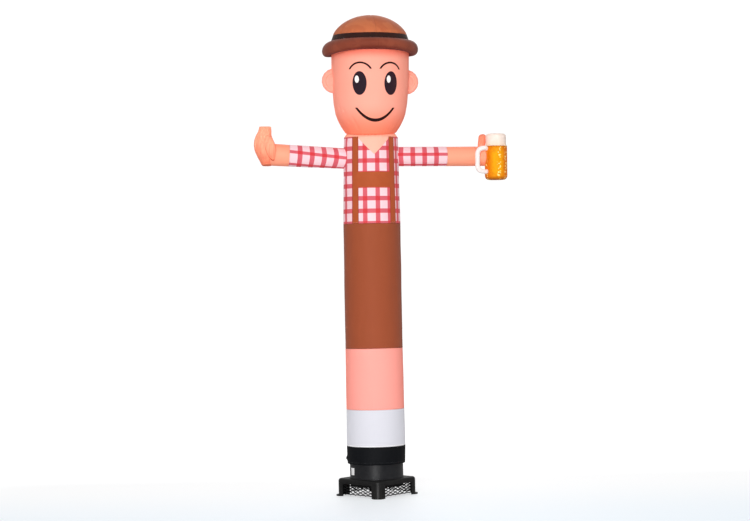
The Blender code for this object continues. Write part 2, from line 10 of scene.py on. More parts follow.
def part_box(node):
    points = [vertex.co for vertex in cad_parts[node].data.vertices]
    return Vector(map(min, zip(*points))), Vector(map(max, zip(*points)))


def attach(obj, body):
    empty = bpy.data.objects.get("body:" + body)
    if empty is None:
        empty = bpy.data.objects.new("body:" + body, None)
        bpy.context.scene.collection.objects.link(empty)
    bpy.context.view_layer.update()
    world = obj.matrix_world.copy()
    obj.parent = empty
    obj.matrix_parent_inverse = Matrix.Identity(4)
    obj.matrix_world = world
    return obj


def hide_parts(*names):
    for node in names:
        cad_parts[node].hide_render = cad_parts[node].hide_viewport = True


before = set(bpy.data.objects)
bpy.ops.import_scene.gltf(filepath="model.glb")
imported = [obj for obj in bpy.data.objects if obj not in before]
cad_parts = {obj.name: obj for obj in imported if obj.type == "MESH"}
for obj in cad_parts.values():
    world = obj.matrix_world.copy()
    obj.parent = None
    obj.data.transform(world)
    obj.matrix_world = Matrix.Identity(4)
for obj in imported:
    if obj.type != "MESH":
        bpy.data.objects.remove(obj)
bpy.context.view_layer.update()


# ---- Studio --------------------------------------------------------------------------
# A pale floor that runs back without an edge, soft light from all round, a larger lamp at
# the front left, and a camera at standing height, a little to the left of the figure.

CAMERA_DISTANCE = 13.24
CAMERA_HEIGHT = 1.651
CAMERA_AZIMUTH = math.radians(-8)
CAMERA_AIM = math.radians(-0.111)
CAMERA_PITCH = math.radians(2.38)
CAMERA_ROLL = math.radians(1.2)
CAMERA_LENS = 67.2
FLOOR_SIZE = 400.0
FLOOR_COLOUR = (0.50, 0.505, 0.51, 1)
FLOOR_GLOW_FAR = (0.85, 0.85, 0.85, 1)
FLOOR_GLOW_MIDDLE = (0.60, 0.60, 0.60, 1)
FLOOR_GLOW_NEAR = (0.46, 0.515, 0.56, 1)
# Each edge of the floor's glow is given by its place and its blur.
FLOOR_FAR_EDGE = (1.9, 0.7)
FLOOR_NEAR_EDGE = (-0.46, 1.65)
FLOOR_GLOW_EDGE = (5.5, 2.0)
SKY = 0.47
SKY_BEHIND = 0.58

drum_low, drum_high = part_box("blower_drum")
AXIS = Vector(((drum_low[0] + drum_high[0]) / 2, (drum_low[1] + drum_high[1]) / 2, 0))
scene = bpy.context.scene
scene.view_settings.view_transform = "Standard"


class Wire:
    """One output of a node tree. Arithmetic adds Math nodes, and make adds any other node."""

    def __init__(self, tree, socket=None):
        self.tree = tree
        self.socket = socket

    def make(self, kind, settings=None, values=None, out=0):
        node = self.tree.nodes.new(kind)
        for name, value in (settings or {}).items():
            if name == "stops":
                ramp = node.color_ramp.elements
                while len(ramp) < len(value):
                    ramp.new(0.5)
                for stop, (place, colour) in zip(ramp, value):
                    stop.position = place
                    stop.color = colour
            else:
                setattr(node, name, value)
        for name, value in (values or {}).items():
            if isinstance(value, Wire):
                self.tree.links.new(value.socket, node.inputs[name])
            else:
                node.inputs[name].default_value = value
        return Wire(self.tree, node.outputs[out])

    def math(self, operation, *others):
        """One Math node on this value and the others, in that order."""
        return self.make("ShaderNodeMath", {"operation": operation}, dict(enumerate((self, *others))))

    def __add__(self, other):
        return self.math("ADD", other)

    def __sub__(self, other):
        return self.math("SUBTRACT", other)

    def __mul__(self, other):
        return self.math("MULTIPLY", other)

    def __truediv__(self, other):
        return self.math("DIVIDE", other)

    def __rsub__(self, other):
        return self.make("ShaderNodeMath", {"operation": "SUBTRACT"}, {0: other, 1: self})

    def __rtruediv__(self, other):
        return self.make("ShaderNodeMath", {"operation": "DIVIDE"}, {0: other, 1: self})

    def __neg__(self):
        return self * -1.0

    def __abs__(self):
        return self.math("ABSOLUTE")

    __radd__ = __add__
    __rmul__ = __mul__

    def split(self):
        parts = self.make("ShaderNodeSeparateXYZ", values={0: self}).socket.node
        return [Wire(self.tree, parts.outputs[axis]) for axis in range(3)]

    def join(self, x, y, z):
        return self.make("ShaderNodeCombineXYZ", values={0: x, 1: y, 2: z})

    def below(self, edge, blur):
        """1 where the value lies below the edge, 0 above it, with a soft step between."""
        values = {0: self, 1: edge - blur, 2: edge + blur, 3: 1.0, 4: 0.0}
        return self.make("ShaderNodeMapRange", {"interpolation_type": "SMOOTHSTEP"}, values)

    def mix(self, off, on):
        """Colour that is off where the value is 0 and on where it is 1."""
        return self.make("ShaderNodeMix", {"data_type": "RGBA"}, {0: self, 6: off, 7: on}, 2)

    def tinted(self, colour, tint=(0.55, 0.50, 0.50, 1.0)):
        """The colour times the tint, which is by itself that of a deeper shade."""
        settings = {"data_type": "RGBA", "blend_type": "MULTIPLY"}
        return self.make("ShaderNodeMix", settings, {0: 1.0, 6: colour, 7: tint}, 2)

    def noise(self, scale, detail=2.0, seed=0.0, vector=None):
        """Smooth noise from 0 to 1 at that many lumps a metre, of the object's own place."""
        if vector is None:
            vector = self.make("ShaderNodeTexCoord", out="Object")
        values = {"Vector": vector, "W": seed, "Scale": scale, "Detail": detail}
        return self.make("ShaderNodeTexNoise", {"noise_dimensions": "4D"}, values)


def srgb(red, green, blue):
    """Linear colour of three values from 0 to 255."""
    steps = [value / 255 for value in (red, green, blue)]
    linear = [s / 12.92 if s <= 0.04045 else ((s + 0.055) / 1.055) ** 2.4 for s in steps]
    return (*linear, 1.0)


def new_material(name, paint, **constants):
    """Principled material; paint returns the wires of the sockets that change over it."""
    material = bpy.data.materials.new(name)
    material.use_nodes = True
    shader = material.node_tree.nodes["Principled BSDF"]
    for socket, value in constants.items():
        shader.inputs[socket.replace("_", " ")].default_value = value
    for socket, wire in paint(Wire(material.node_tree)).items():
        material.node_tree.links.new(wire.socket, shader.inputs[socket])
    return material


def show(name, mesh):
    """Puts the mesh in the scene as an object at the origin."""
    thing = bpy.data.objects.new(name, mesh)
    scene.collection.objects.link(thing)
    return thing


def as_mesh(shape, name):
    """Mesh of the bmesh, which is then freed."""
    mesh = bpy.data.meshes.new(name)
    shape.to_mesh(mesh)
    shape.free()
    return mesh


def paint_floor(wire):
    """Lit white, with a breath of blue just in front of the object."""
    x, y, _ = wire.make("ShaderNodeTexCoord", out="Object").split()
    depth = y * math.cos(CAMERA_AZIMUTH) - x * math.sin(CAMERA_AZIMUTH)
    near = depth.below(*FLOOR_NEAR_EDGE).mix(FLOOR_GLOW_MIDDLE, FLOOR_GLOW_NEAR)
    reach = (x * x + y * y).math("SQRT").below(*FLOOR_GLOW_EDGE)
    glow = (depth.below(*FLOOR_FAR_EDGE) * reach).mix(FLOOR_GLOW_FAR, near)
    seen = wire.make("ShaderNodeLightPath", out="Is Camera Ray")
    return {"Emission Color": seen.mix((0, 0, 0, 1), glow)}


floor_sheet = bmesh.new()
bmesh.ops.create_grid(floor_sheet, x_segments=1, y_segments=1, size=FLOOR_SIZE / 2)
floor = show("floor", as_mesh(floor_sheet, "floor"))
pale_floor = new_material("pale_floor", paint_floor, Base_Color=FLOOR_COLOUR, Emission_Strength=1.0)
floor.data.materials.append(pale_floor)

world = bpy.data.worlds.new("studio")
world.use_nodes = True
scene.world = world
sky = Wire(world.node_tree)
seen = sky.make("ShaderNodeLightPath", out="Is Camera Ray")
backdrop = world.node_tree.nodes["Background"]
world.node_tree.links.new((SKY + SKY_BEHIND * seen).socket, backdrop.inputs["Strength"])
backdrop.inputs["Color"].default_value = (1, 1, 1, 1)


def add_lamp(name, place, aim, size, power):
    lamp = bpy.data.lights.new(name, "AREA")
    lamp.shape = "RECTANGLE"
    lamp.size, lamp.size_y = size
    lamp.energy = power
    holder = show(name, lamp)
    holder.location = place
    holder.rotation_euler = (Vector(aim) - Vector(place)).to_track_quat("-Z", "Y").to_euler()


add_lamp("key_lamp", (-3.2, -11.0, 4.6), (0, 0, 2.3), (3.0, 3.0), 540)
add_lamp("fill_lamp", (7.5, -7.0, 3.0), (0, 0, 2.3), (4.0, 4.0), 60)
add_lamp("back_lamp", (1.5, 6.0, 7.5), (0, 0, 2.8), (4.0, 4.0), 160)
add_lamp("low_lamp", (-2.3, -9.0, 0.75), (0, 0, 0.6), (2.6, 1.0), 225)

camera = bpy.data.cameras.new("camera")
camera.lens = CAMERA_LENS
camera.sensor_width = 36.0
camera.clip_end = 500.0
camera_holder = show("camera", camera)
scene.camera = camera_holder
back = Vector((math.sin(CAMERA_AZIMUTH), -math.cos(CAMERA_AZIMUTH), 0))
camera_holder.matrix_world = (
    Matrix.Translation(AXIS + back * CAMERA_DISTANCE + Vector((0, 0, CAMERA_HEIGHT)))
    @ Matrix.Rotation(CAMERA_AZIMUTH + CAMERA_AIM, 4, "Z")
    @ Matrix.Rotation(math.pi / 2 + CAMERA_PITCH, 4, "X")
    @ Matrix.Rotation(-CAMERA_ROLL, 4, "Z")
)


# ---- Blower base ---------------------------------------------------------------------
# The housing is one black polypropylene moulding, a rounded square on four corner posts
# with out-turned feet. Air is drawn in through a window in each side, under the fan.

BASE_SIDE = 0.545
BASE_HEIGHT = 0.163
BASE_CORNER = 0.060
BASE_WALL = 0.006
BASE_EDGE = 0.024
BASE_TURN = math.radians(39)
POST_WIDTH = 0.090
WINDOW_TOP = 0.116
WINDOW_CORNER = 0.012
CLOSED_WIDTH = 0.092
FOOT_REACH = 0.022
FOOT_THICKNESS = 0.012
INLET_RADIUS = 0.225
INLET_RING_RADIUS = 0.250
INLET_RING_BOTTOM = 0.090
REACH_PAST = 0.010
CORNER_STEPS = 12
EDGE_STEPS = 6
WINDOW_STEPS = 5
EDGE_ROUND = 0.0012
HOUSING_BLACK = srgb(8, 8, 9)
DUST_GREY = srgb(92, 90, 88)


def moulded(name, tint, grain, gloss):
    """Black moulded plastic: fine spark-eroded grain, flow marks and a film of dust."""

    def paint(wire):
        flow = wire.noise(9, seed=1.0)
        dust = wire.noise(60, 3.0, seed=2.0)
        fine = wire.noise(900, 1.0, seed=3.0)
        _, _, height = wire.make("ShaderNodeTexCoord", out="Object").split()
        dusty = dust * flow * 1.6 + height.below(0.03, 0.03) * 0.25
        bump = {"Strength": 0.35, "Distance": grain, "Height": fine + dust * 0.6}
        return {
            "Base Color": (dusty * 0.12).mix(tint, DUST_GREY),
            "Roughness": 0.28 + 0.18 * flow + 0.1 * dust,
            "Normal": wire.make("ShaderNodeBump", values=bump),
        }

    return new_material(name, paint, Specular_IOR_Level=gloss)


def stand_for(piece, slot, *nodes):
    """The piece shows in place of those solids. The slot is not used."""
    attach(piece, "root")
    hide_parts(*nodes)
    return piece


def plain_mesh(thing):
    """Mesh of the object as its modifiers leave it."""
    depsgraph = bpy.context.evaluated_depsgraph_get()
    return bpy.data.meshes.new_from_object(thing.evaluated_get(depsgraph))


def settle(thing):
    """Takes the modifiers' result as the object's own mesh."""
    mesh = plain_mesh(thing)
    thing.modifiers.clear()
    thing.data = mesh
    return thing


def round_off(shape, edges, radius, steps):
    bmesh.ops.bevel(shape, geom=edges, offset=radius, segments=steps, profile=0.5, affect="EDGES")


def block(side, bottom, top, corner, edge=0.0):
    """Square block with rounded upright corners and a rounded upper edge."""
    shape = bmesh.new()
    bmesh.ops.create_cube(shape, size=1)
    middle = (top + bottom) / 2
    bmesh.ops.scale(shape, vec=(side, side, top - bottom), verts=shape.verts)
    bmesh.ops.translate(shape, vec=(0, 0, middle), verts=shape.verts)
    upright = [e for e in shape.edges if len({v.co.z > middle for v in e.verts}) == 2]
    round_off(shape, upright, corner, CORNER_STEPS)
    if edge:
        upper = [e for e in shape.edges if min(v.co.z for v in e.verts) > middle]
        round_off(shape, upper, edge, EDGE_STEPS)
    return as_mesh(shape, "block")


def disc(radius, bottom, top, centre=(0, 0)):
    """Flat round plate with level faces."""
    shape = bmesh.new()
    place = Matrix.Translation((*centre, (top + bottom) / 2))
    bmesh.ops.create_cone(
        shape, cap_ends=True, segments=96, radius1=radius, radius2=radius, depth=top - bottom,
        matrix=place,
    )
    return as_mesh(shape, "disc")


def foot(number):
    """Round pad set outwards under a corner post."""
    reach = (BASE_SIDE / 2 - BASE_CORNER) * math.sqrt(2) + FOOT_REACH
    turn = math.pi / 4 + number * math.pi / 2
    return disc(BASE_CORNER, 0, FOOT_THICKNESS, (reach * math.cos(turn), reach * math.sin(turn)))


def window(number):
    """Cutter for one window, with rounded upper corners; the back left one is part closed."""
    low = POST_WIDTH - BASE_SIDE / 2
    high = -low - (CLOSED_WIDTH if number == 2 else 0)
    shape = bmesh.new()
    bmesh.ops.create_cube(shape, size=1)
    tall = WINDOW_TOP + REACH_PAST
    bmesh.ops.scale(shape, vec=(high - low, 1, tall), verts=shape.verts)
    bmesh.ops.translate(
        shape, vec=((low + high) / 2, -0.5, tall / 2 - REACH_PAST), verts=shape.verts
    )
    corners = [
        e
        for e in shape.edges
        if abs(e.verts[0].co.y - e.verts[1].co.y) > 0.5 and e.verts[0].co.z > 0
    ]
    round_off(shape, corners, WINDOW_CORNER, WINDOW_STEPS)
    mesh = as_mesh(shape, "window")
    mesh.transform(Matrix.Rotation(number * math.pi / 2, 4, "Z"))
    return mesh


def carve(thing, *steps):
    """Joins or cuts the object with each mesh in turn."""
    for number, (operation, mesh) in enumerate(steps):
        cutter = show(f"cutter_{number}", mesh)
        modifier = thing.modifiers.new("carve", "BOOLEAN")
        modifier.operation = operation
        modifier.object = cutter
        settle(thing)
        bpy.data.objects.remove(cutter)


def round_edges(thing):
    """Small round on every sharp edge of the object, shaded smooth."""
    modifier = thing.modifiers.new("round", "BEVEL")
    modifier.width = EDGE_ROUND
    modifier.segments = 2
    modifier.limit_method = "ANGLE"
    modifier.angle_limit = math.radians(50)
    settle(thing)
    thing.data.shade_smooth()
    thing.data.set_sharp_from_angle(angle=math.radians(40))


base = show("blower_housing", block(BASE_SIDE, 0, BASE_HEIGHT, BASE_CORNER, BASE_EDGE))
inner_side, plate_bottom = BASE_SIDE - 2 * BASE_WALL, BASE_HEIGHT - BASE_WALL
inner_corner, inner_edge = BASE_CORNER - BASE_WALL, BASE_EDGE - BASE_WALL
carve(
    base,
    *(("UNION", foot(number)) for number in range(4)),
    ("DIFFERENCE", block(inner_side, -REACH_PAST, plate_bottom, inner_corner, inner_edge)),
    *(("DIFFERENCE", window(number)) for number in range(4)),
    ("UNION", disc(INLET_RING_RADIUS, INLET_RING_BOTTOM, BASE_HEIGHT - BASE_WALL / 2)),
    ("DIFFERENCE", disc(INLET_RADIUS, 0, BASE_HEIGHT + REACH_PAST)),
)
base.data.transform(Matrix.Translation(AXIS) @ Matrix.Rotation(BASE_TURN, 4, "Z"))
round_edges(base)
base.data.materials.clear()
base.data.materials.append(moulded("moulded_housing", HOUSING_BLACK, 0.0002, 0.21))
stand_for(base, "black_plastic", "blower_base")


# ---- Intake grilles ------------------------------------------------------------------
# Each window is closed by a flat net of expanded steel, coated black, in a bar frame
# that clips in behind the window. Its diamonds are wider than they are tall.

NET_WIDTH = BASE_SIDE - 2 * POST_WIDTH + 0.020
NET_BOTTOM = 0.018
NET_HEIGHT = 0.108
NET_COLUMNS = 6
NET_ROWS = 4
NET_WIRE = 0.0056
NET_BAR = 0.0060
NET_GAP = 0.0003
WIRE_BLACK = srgb(12, 12, 14)
WIRE_GREY = srgb(60, 60, 62)


def new_tree(name, inputs):
    """Geometry Nodes tree with those named inputs, and a wire for each of them."""
    tree = bpy.data.node_groups.new(name, "GeometryNodeTree")
    tree.interface.new_socket("Geometry", in_out="OUTPUT", socket_type="NodeSocketGeometry")
    tree.interface.new_socket("Geometry", in_out="INPUT", socket_type="NodeSocketGeometry")
    kinds = {int: "NodeSocketInt", float: "NodeSocketFloat", Vector: "NodeSocketVector"}
    for label, value in inputs.items():
        kind = kinds.get(type(value), f"NodeSocket{value}" if isinstance(value, str) else None)
        socket = tree.interface.new_socket(label, in_out="INPUT", socket_type=kind)
        if not isinstance(value, str):
            socket.default_value = value
    source = tree.nodes.new("NodeGroupInput")
    return tree, {s.name: Wire(tree, s) for s in source.outputs if s.name}


def end_tree(tree, geometry, material=None):
    """Ends a tree with real geometry, in the material where there is one."""
    real = geometry.make("GeometryNodeRealizeInstances", values={"Geometry": geometry})
    last = real.make("GeometryNodeSetShadeSmooth", values={"Geometry": real})
    if material is not None:
        last = last.make("GeometryNodeSetMaterial", values={"Geometry": last, "Material": material})
    result = tree.nodes.new("NodeGroupOutput")
    tree.links.new(last.socket, result.inputs["Geometry"])


def grow(thing, tree, **values):
    """Adds the tree to the object with those input values."""
    modifier = thing.modifiers.new(tree.name, "NODES")
    modifier.node_group = tree
    names = {
        item.name: item.identifier
        for item in tree.interface.items_tree
        if item.item_type == "SOCKET" and item.in_out == "INPUT"
    }
    for label, value in values.items():
        modifier[names[label.replace("_", " ")]] = value


def rectangle(width, height):
    sizes = {"Width": width, "Height": height}
    return width.make("GeometryNodeCurvePrimitiveQuadrilateral", values=sizes)


def swept(path, section):
    """Bar of that section along the path."""
    return path.make("GeometryNodeCurveToMesh", values={"Curve": path, "Profile Curve": section})


def net_tree():
    """Flat net in the XZ plane: a grid of diamond wires inside a bar frame."""
    tree, given = new_tree(
        "wire_net",
        {
            "Width": 0.4, "Height": 0.1, "Columns": 14, "Rows": 6, "Wire": 0.001, "Bar": 0.003,
            "Material": "Material",
        },
    )
    width, height, bar = given["Width"], given["Height"], given["Bar"]
    cell, tall = width / given["Columns"], height / given["Rows"]
    grid = {"Size X": width - cell, "Size Y": height - tall}
    grid |= {"Vertices X": given["Columns"], "Vertices Y": given["Rows"]}
    points = width.make("GeometryNodeMeshGrid", values=grid)
    kite = {"Width": cell, "Bottom Height": tall / 2, "Top Height": tall / 2}
    diamond = width.make("GeometryNodeCurvePrimitiveQuadrilateral", {"mode": "KITE"}, kite)
    circle = {"Resolution": 5, "Radius": given["Wire"]}
    mesh_wire = swept(diamond, width.make("GeometryNodeCurvePrimitiveCircle", values=circle))
    cells = {"Points": points, "Instance": mesh_wire}
    net = width.make("GeometryNodeInstanceOnPoints", values=cells)
    bar_frame = swept(rectangle(width - bar, height - bar), rectangle(bar, given["Wire"] * 2))
    join = tree.nodes.new("GeometryNodeJoinGeometry")
    for piece in (net, bar_frame):
        tree.links.new(piece.socket, join.inputs[0])
    flat = Wire(tree, join.outputs[0])
    turn = {"Geometry": flat, "Rotation": (math.pi / 2, 0, 0)}
    end_tree(tree, flat.make("GeometryNodeTransform", values=turn), given["Material"])
    return tree


def paint_wire(wire):
    """Black powder coat, worn to grey in places."""
    worn = wire.noise(160, 3.0, seed=5.0).below(0.40, 0.05)
    bump = {"Strength": 0.3, "Distance": 0.0002, "Height": wire.noise(1500, 1.0)}
    return {
        "Base Color": (worn * 0.3).mix(WIRE_BLACK, WIRE_GREY),
        "Roughness": 0.46 + 0.2 * worn,
        "Normal": wire.make("ShaderNodeBump", values=bump),
    }


coated_wire = new_material("coated_wire", paint_wire, Specular_IOR_Level=0.15)
wire_net = net_tree()
behind = BASE_SIDE / 2 - BASE_WALL - NET_WIRE - NET_GAP
for number in range(4):
    net = show(f"intake_net_{number + 1}", bpy.data.meshes.new("net"))
    grow(
        net, wire_net, Width=NET_WIDTH, Height=NET_HEIGHT, Columns=NET_COLUMNS, Rows=NET_ROWS,
        Wire=NET_WIRE, Bar=NET_BAR, Material=coated_wire,
    )
    settle(net)
    net.data.transform(
        Matrix.Translation(AXIS)
        @ Matrix.Rotation(BASE_TURN + number * math.pi / 2, 4, "Z")
        @ Matrix.Translation((0, -behind, NET_BOTTOM + NET_HEIGHT / 2))
    )
    stand_for(net, "black_wire", f"grille_{number + 1}")


# ---- Blower drum ---------------------------------------------------------------------
# The outlet is a second moulding: a short drum with fine ribs all round, and at its top
# a flared lip that the figure's skirt is drawn over.

DRUM_RADIUS = 0.251
DRUM_WALL = 0.004
DRUM_NECK = 0.395
DRUM_TOP = 0.425
DRUM_LIP_RADIUS = 0.2739
LIP_FLARE = 0.012
LIP_ROUND = 0.001
RIB_PITCH = 0.011
RIB_HEIGHT = 0.0014
RIBS_FROM_FOOT = 0.008
RIBS_FROM_NECK = 0.018
DRUM_GAP = 0.0003
OUTLET_BLACK = srgb(2, 4, 12)


def ribbed_rows():
    """Outer side of the drum upwards: two points in each groove and two on each rib."""
    bottom = BASE_HEIGHT + DRUM_GAP
    count = int((DRUM_NECK - RIBS_FROM_NECK - bottom) / RIB_PITCH)
    rows = [(DRUM_RADIUS, bottom), (DRUM_RADIUS, bottom + RIBS_FROM_FOOT - 0.002)]
    for rib in range(count):
        start = bottom + RIBS_FROM_FOOT + rib * RIB_PITCH
        for share, proud in ((0.0, 0), (0.15, 1), (0.45, 1), (0.6, 0)):
            rows.append((DRUM_RADIUS - RIB_HEIGHT * (1 - proud), start + share * RIB_PITCH))
    rows += [(DRUM_RADIUS, DRUM_NECK), (DRUM_LIP_RADIUS, DRUM_NECK + LIP_FLARE)]
    rows += [(DRUM_LIP_RADIUS, DRUM_TOP - LIP_ROUND), (DRUM_LIP_RADIUS - LIP_ROUND, DRUM_TOP)]
    return rows


def turned(rows, steps):
    """Mesh of a closed outline of (radius, height) points turned round Z."""
    profile = bpy.data.meshes.new("profile")
    edges = [(i, (i + 1) % len(rows)) for i in range(len(rows))]
    profile.from_pydata([(radius, 0, height) for radius, height in rows], edges, [])
    holder = show("profile", profile)
    screw = holder.modifiers.new("turn", "SCREW")
    screw.steps = steps
    screw.render_steps = steps
    screw.use_merge_vertices = True
    screw.merge_threshold = 0.0001
    mesh = plain_mesh(holder)
    bpy.data.objects.remove(holder)
    return mesh


outside = ribbed_rows()
inside = [
    (DRUM_LIP_RADIUS - DRUM_WALL, DRUM_TOP), (DRUM_LIP_RADIUS - DRUM_WALL, DRUM_NECK + 0.014),
    (DRUM_RADIUS - DRUM_WALL, DRUM_NECK + 0.002), (DRUM_RADIUS - DRUM_WALL, outside[0][1]),
]
drum = show("blower_outlet", turned((outside + inside)[::-1], 128))
drum.data.transform(Matrix.Translation(AXIS))
drum.data.shade_smooth()
drum.data.set_sharp_from_angle(angle=math.radians(30))
drum.data.materials.clear()
drum.data.materials.append(moulded("moulded_outlet", OUTLET_BLACK, 0.0001, 0.42))
stand_for(drum, "black_plastic", "blower_drum")


# ---- Label ---------------------------------------------------------------------------
# A small rectangle of white plastic film, stuck to the drum's side across the ribs.
# Nothing is printed on it.

LABEL_ANGLE = math.radians(-71)
LABEL_SIZE = (0.062, 0.066)
LABEL_CORNER = 0.004
LABEL_MIDDLE = 0.232
LABEL_PROUD = 0.0004
LABEL_WHITE = srgb(253, 253, 254)
LABEL_YELLOWED = srgb(220, 217, 210)


def paint_label(wire):
    """Bare white film, a little yellowed and dusty in patches."""
    dust = wire.noise(90, 3.0, seed=6.0)
    return {
        "Base Color": (dust * 0.2).mix(LABEL_WHITE, LABEL_YELLOWED),
        "Roughness": 0.30 + 0.25 * dust,
    }


sticker = bmesh.new()
bmesh.ops.create_grid(sticker, x_segments=24, y_segments=2, size=0.5)
for vertex in sticker.verts:
    turn = LABEL_ANGLE + vertex.co.x * LABEL_SIZE[0] / DRUM_RADIUS
    corner = LABEL_CORNER * (abs(vertex.co.x) > 0.49)
    height = LABEL_MIDDLE + vertex.co.y * (LABEL_SIZE[1] - 2 * corner)
    reach = DRUM_RADIUS + LABEL_PROUD
    vertex.co = AXIS + Vector((reach * math.sin(turn), -reach * math.cos(turn), height))
label = show("bare_label", as_mesh(sticker, "sticker"))
film = label.modifiers.new("film", "SOLIDIFY")
film.thickness = LABEL_PROUD / 2
film.offset = -1
settle(label)
label.data.materials.append(new_material("label_film", paint_label))
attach(label, "root")


# ---- Skirt ---------------------------------------------------------------------------
# A black band of coated polyester, hemmed below and drawn tight over the blower's lip,
# where a gathered fold makes a small lump at one side. Its upper edge is sewn on.

CLOTH = 0.001
BOW_START = 1.35
BOW_RADIUS = 28.2
SKIRT_HEM = 0.300
SKIRT_BELLY = 0.335
SKIRT_TOP = 0.466
HEM_RADIUS = 0.271
SKIRT_BELLY_RADIUS = 0.2735
ANKLE_RADIUS = 0.2765
AROUND = 160
ROW_PITCH = 0.012
WELD = 0.00002


def store(geometry, name, value, kind="FLOAT_VECTOR"):
    """The geometry with that value kept on its points under that name."""
    values = {"Geometry": geometry, "Name": name, "Value": value}
    return geometry.make("GeometryNodeStoreNamedAttribute", {"data_type": kind}, values)


def recall(wire, name, kind="FLOAT_VECTOR"):
    return wire.make("GeometryNodeInputNamedAttribute", {"data_type": kind}, {"Name": name})


def put(geometry, **places):
    """The geometry with its points at a new Position, or moved by an Offset."""
    return geometry.make("GeometryNodeSetPosition", values={"Geometry": geometry, **places})


def press_out(geometry, depth):
    """The cloth pressed outwards by that depth, along its own normal."""
    normal = geometry.make("GeometryNodeInputNormal")
    offset = geometry.make("ShaderNodeVectorMath", {"operation": "SCALE"}, {0: normal, 3: depth})
    return put(geometry, Offset=offset)


def turned_tree():
    """Turns an outline round Z, front seam to back, and puckers the cloth at both seams.

    The cloth keeps where it lay before it puckered in "rest", and its distances from
    the lower and the upper seam in "seams".
    """
    tree, given = new_tree(
        "turned_cloth",
        {
            "Around": 160, "Rows": 40, "Puckers": 50.0, "Lower Depth": 0.002,
            "Upper Depth": 0.002, "Reach": 0.05, "Slack": 0.002, "Seed": 0.0,
        },
    )
    outline = given["Geometry"]
    wire = Wire(tree)
    steps = {"Vertices X": given["Around"] + 1, "Vertices Y": given["Rows"] + 1}
    grid = wire.make("GeometryNodeMeshGrid", values={"Size X": 1.0, "Size Y": 1.0, **steps})
    across, up, _ = wire.make("GeometryNodeInputPosition").split()
    turn, share = across * math.tau, up + 0.5
    length = wire.make("GeometryNodeCurveLength", values={"Curve": outline})
    sample = {"Curves": outline, "Factor": share}
    point = wire.make("GeometryNodeSampleCurve", {"mode": "FACTOR"}, sample, "Position")
    radius, _, height = point.split()
    marked = store(grid, "seams", wire.join(share * length, (1 - share) * length, 0.0))
    rest = wire.join(radius * turn.math("SINE"), -radius * turn.math("COSINE"), height)
    weld = {"Geometry": put(marked, Position=rest), "Distance": WELD}
    merged = wire.make("GeometryNodeMergeByDistance", values=weld)
    place = wire.make("GeometryNodeInputPosition")
    x, y, _ = place.split()
    lower, upper, _ = recall(wire, "seams").split()
    uneven = wire.noise(9, 1.0, given["Seed"], place)
    wave = 1 - abs((x.math("ARCTAN2", -y) * given["Puckers"] / 2 + uneven * 5).math("SINE"))
    low = given["Lower Depth"] * (-lower / given["Reach"]).math("EXPONENT")
    high = given["Upper Depth"] * (-upper / given["Reach"]).math("EXPONENT")
    strength = 0.35 + 1.3 * wire.noise(5, 0.0, given["Seed"] + 7, place)
    broad = wire.noise(3.2, 1.0, given["Seed"] + 3, place) - 0.5
    amount = given["Slack"] * 2 * broad - wave * strength * (low + high)
    end_tree(tree, press_out(store(merged, "rest", place), amount))
    return tree


def crease_tree():
    """One soft trough, or a ridge where its depth is negative, across the turned cloth."""
    tree, given = new_tree(
        "crease",
        {"Angle": 0.0, "Height": 0.0, "Tilt": 0.0, "Length": 0.1, "Width": 0.01, "Depth": 0.004},
    )
    x, y, z = recall(Wire(tree), "rest").split()
    arc = (x.math("ARCTAN2", -y) - given["Angle"]) * (x * x + y * y).math("SQRT")
    rise = z - given["Height"]
    cosine, sine = given["Tilt"].math("COSINE"), given["Tilt"].math("SINE")
    along = (arc * cosine + rise * sine) / given["Length"]
    across = (rise * cosine - arc * sine) / given["Width"]
    fall = (-(along * along) - across * across).math("EXPONENT")
    end_tree(tree, press_out(given["Geometry"], -given["Depth"] * fall))
    return tree


def bow_tree():
    """Carries a piece from the upright figure's axes to where it stands, bowed forward."""
    tree, given = new_tree(
        "bow", {"Start": 1.35, "Radius": 28.2, "Axis": Vector((0, 0, 0)), "Material": "Material"}
    )
    wire = Wire(tree)
    x, y, z = wire.make("GeometryNodeInputPosition").split()
    lean = (z - given["Start"]).math("MAXIMUM", 0.0) / given["Radius"]
    reach = y + given["Radius"]
    back = reach * lean.math("COSINE") - given["Radius"]
    bowed = wire.join(x, back, z.math("MINIMUM", given["Start"]) + reach * lean.math("SINE"))
    placed = wire.make("ShaderNodeVectorMath", {"operation": "ADD"}, {0: bowed, 1: given["Axis"]})
    end_tree(tree, put(given["Geometry"], Position=placed), given["Material"])
    return tree


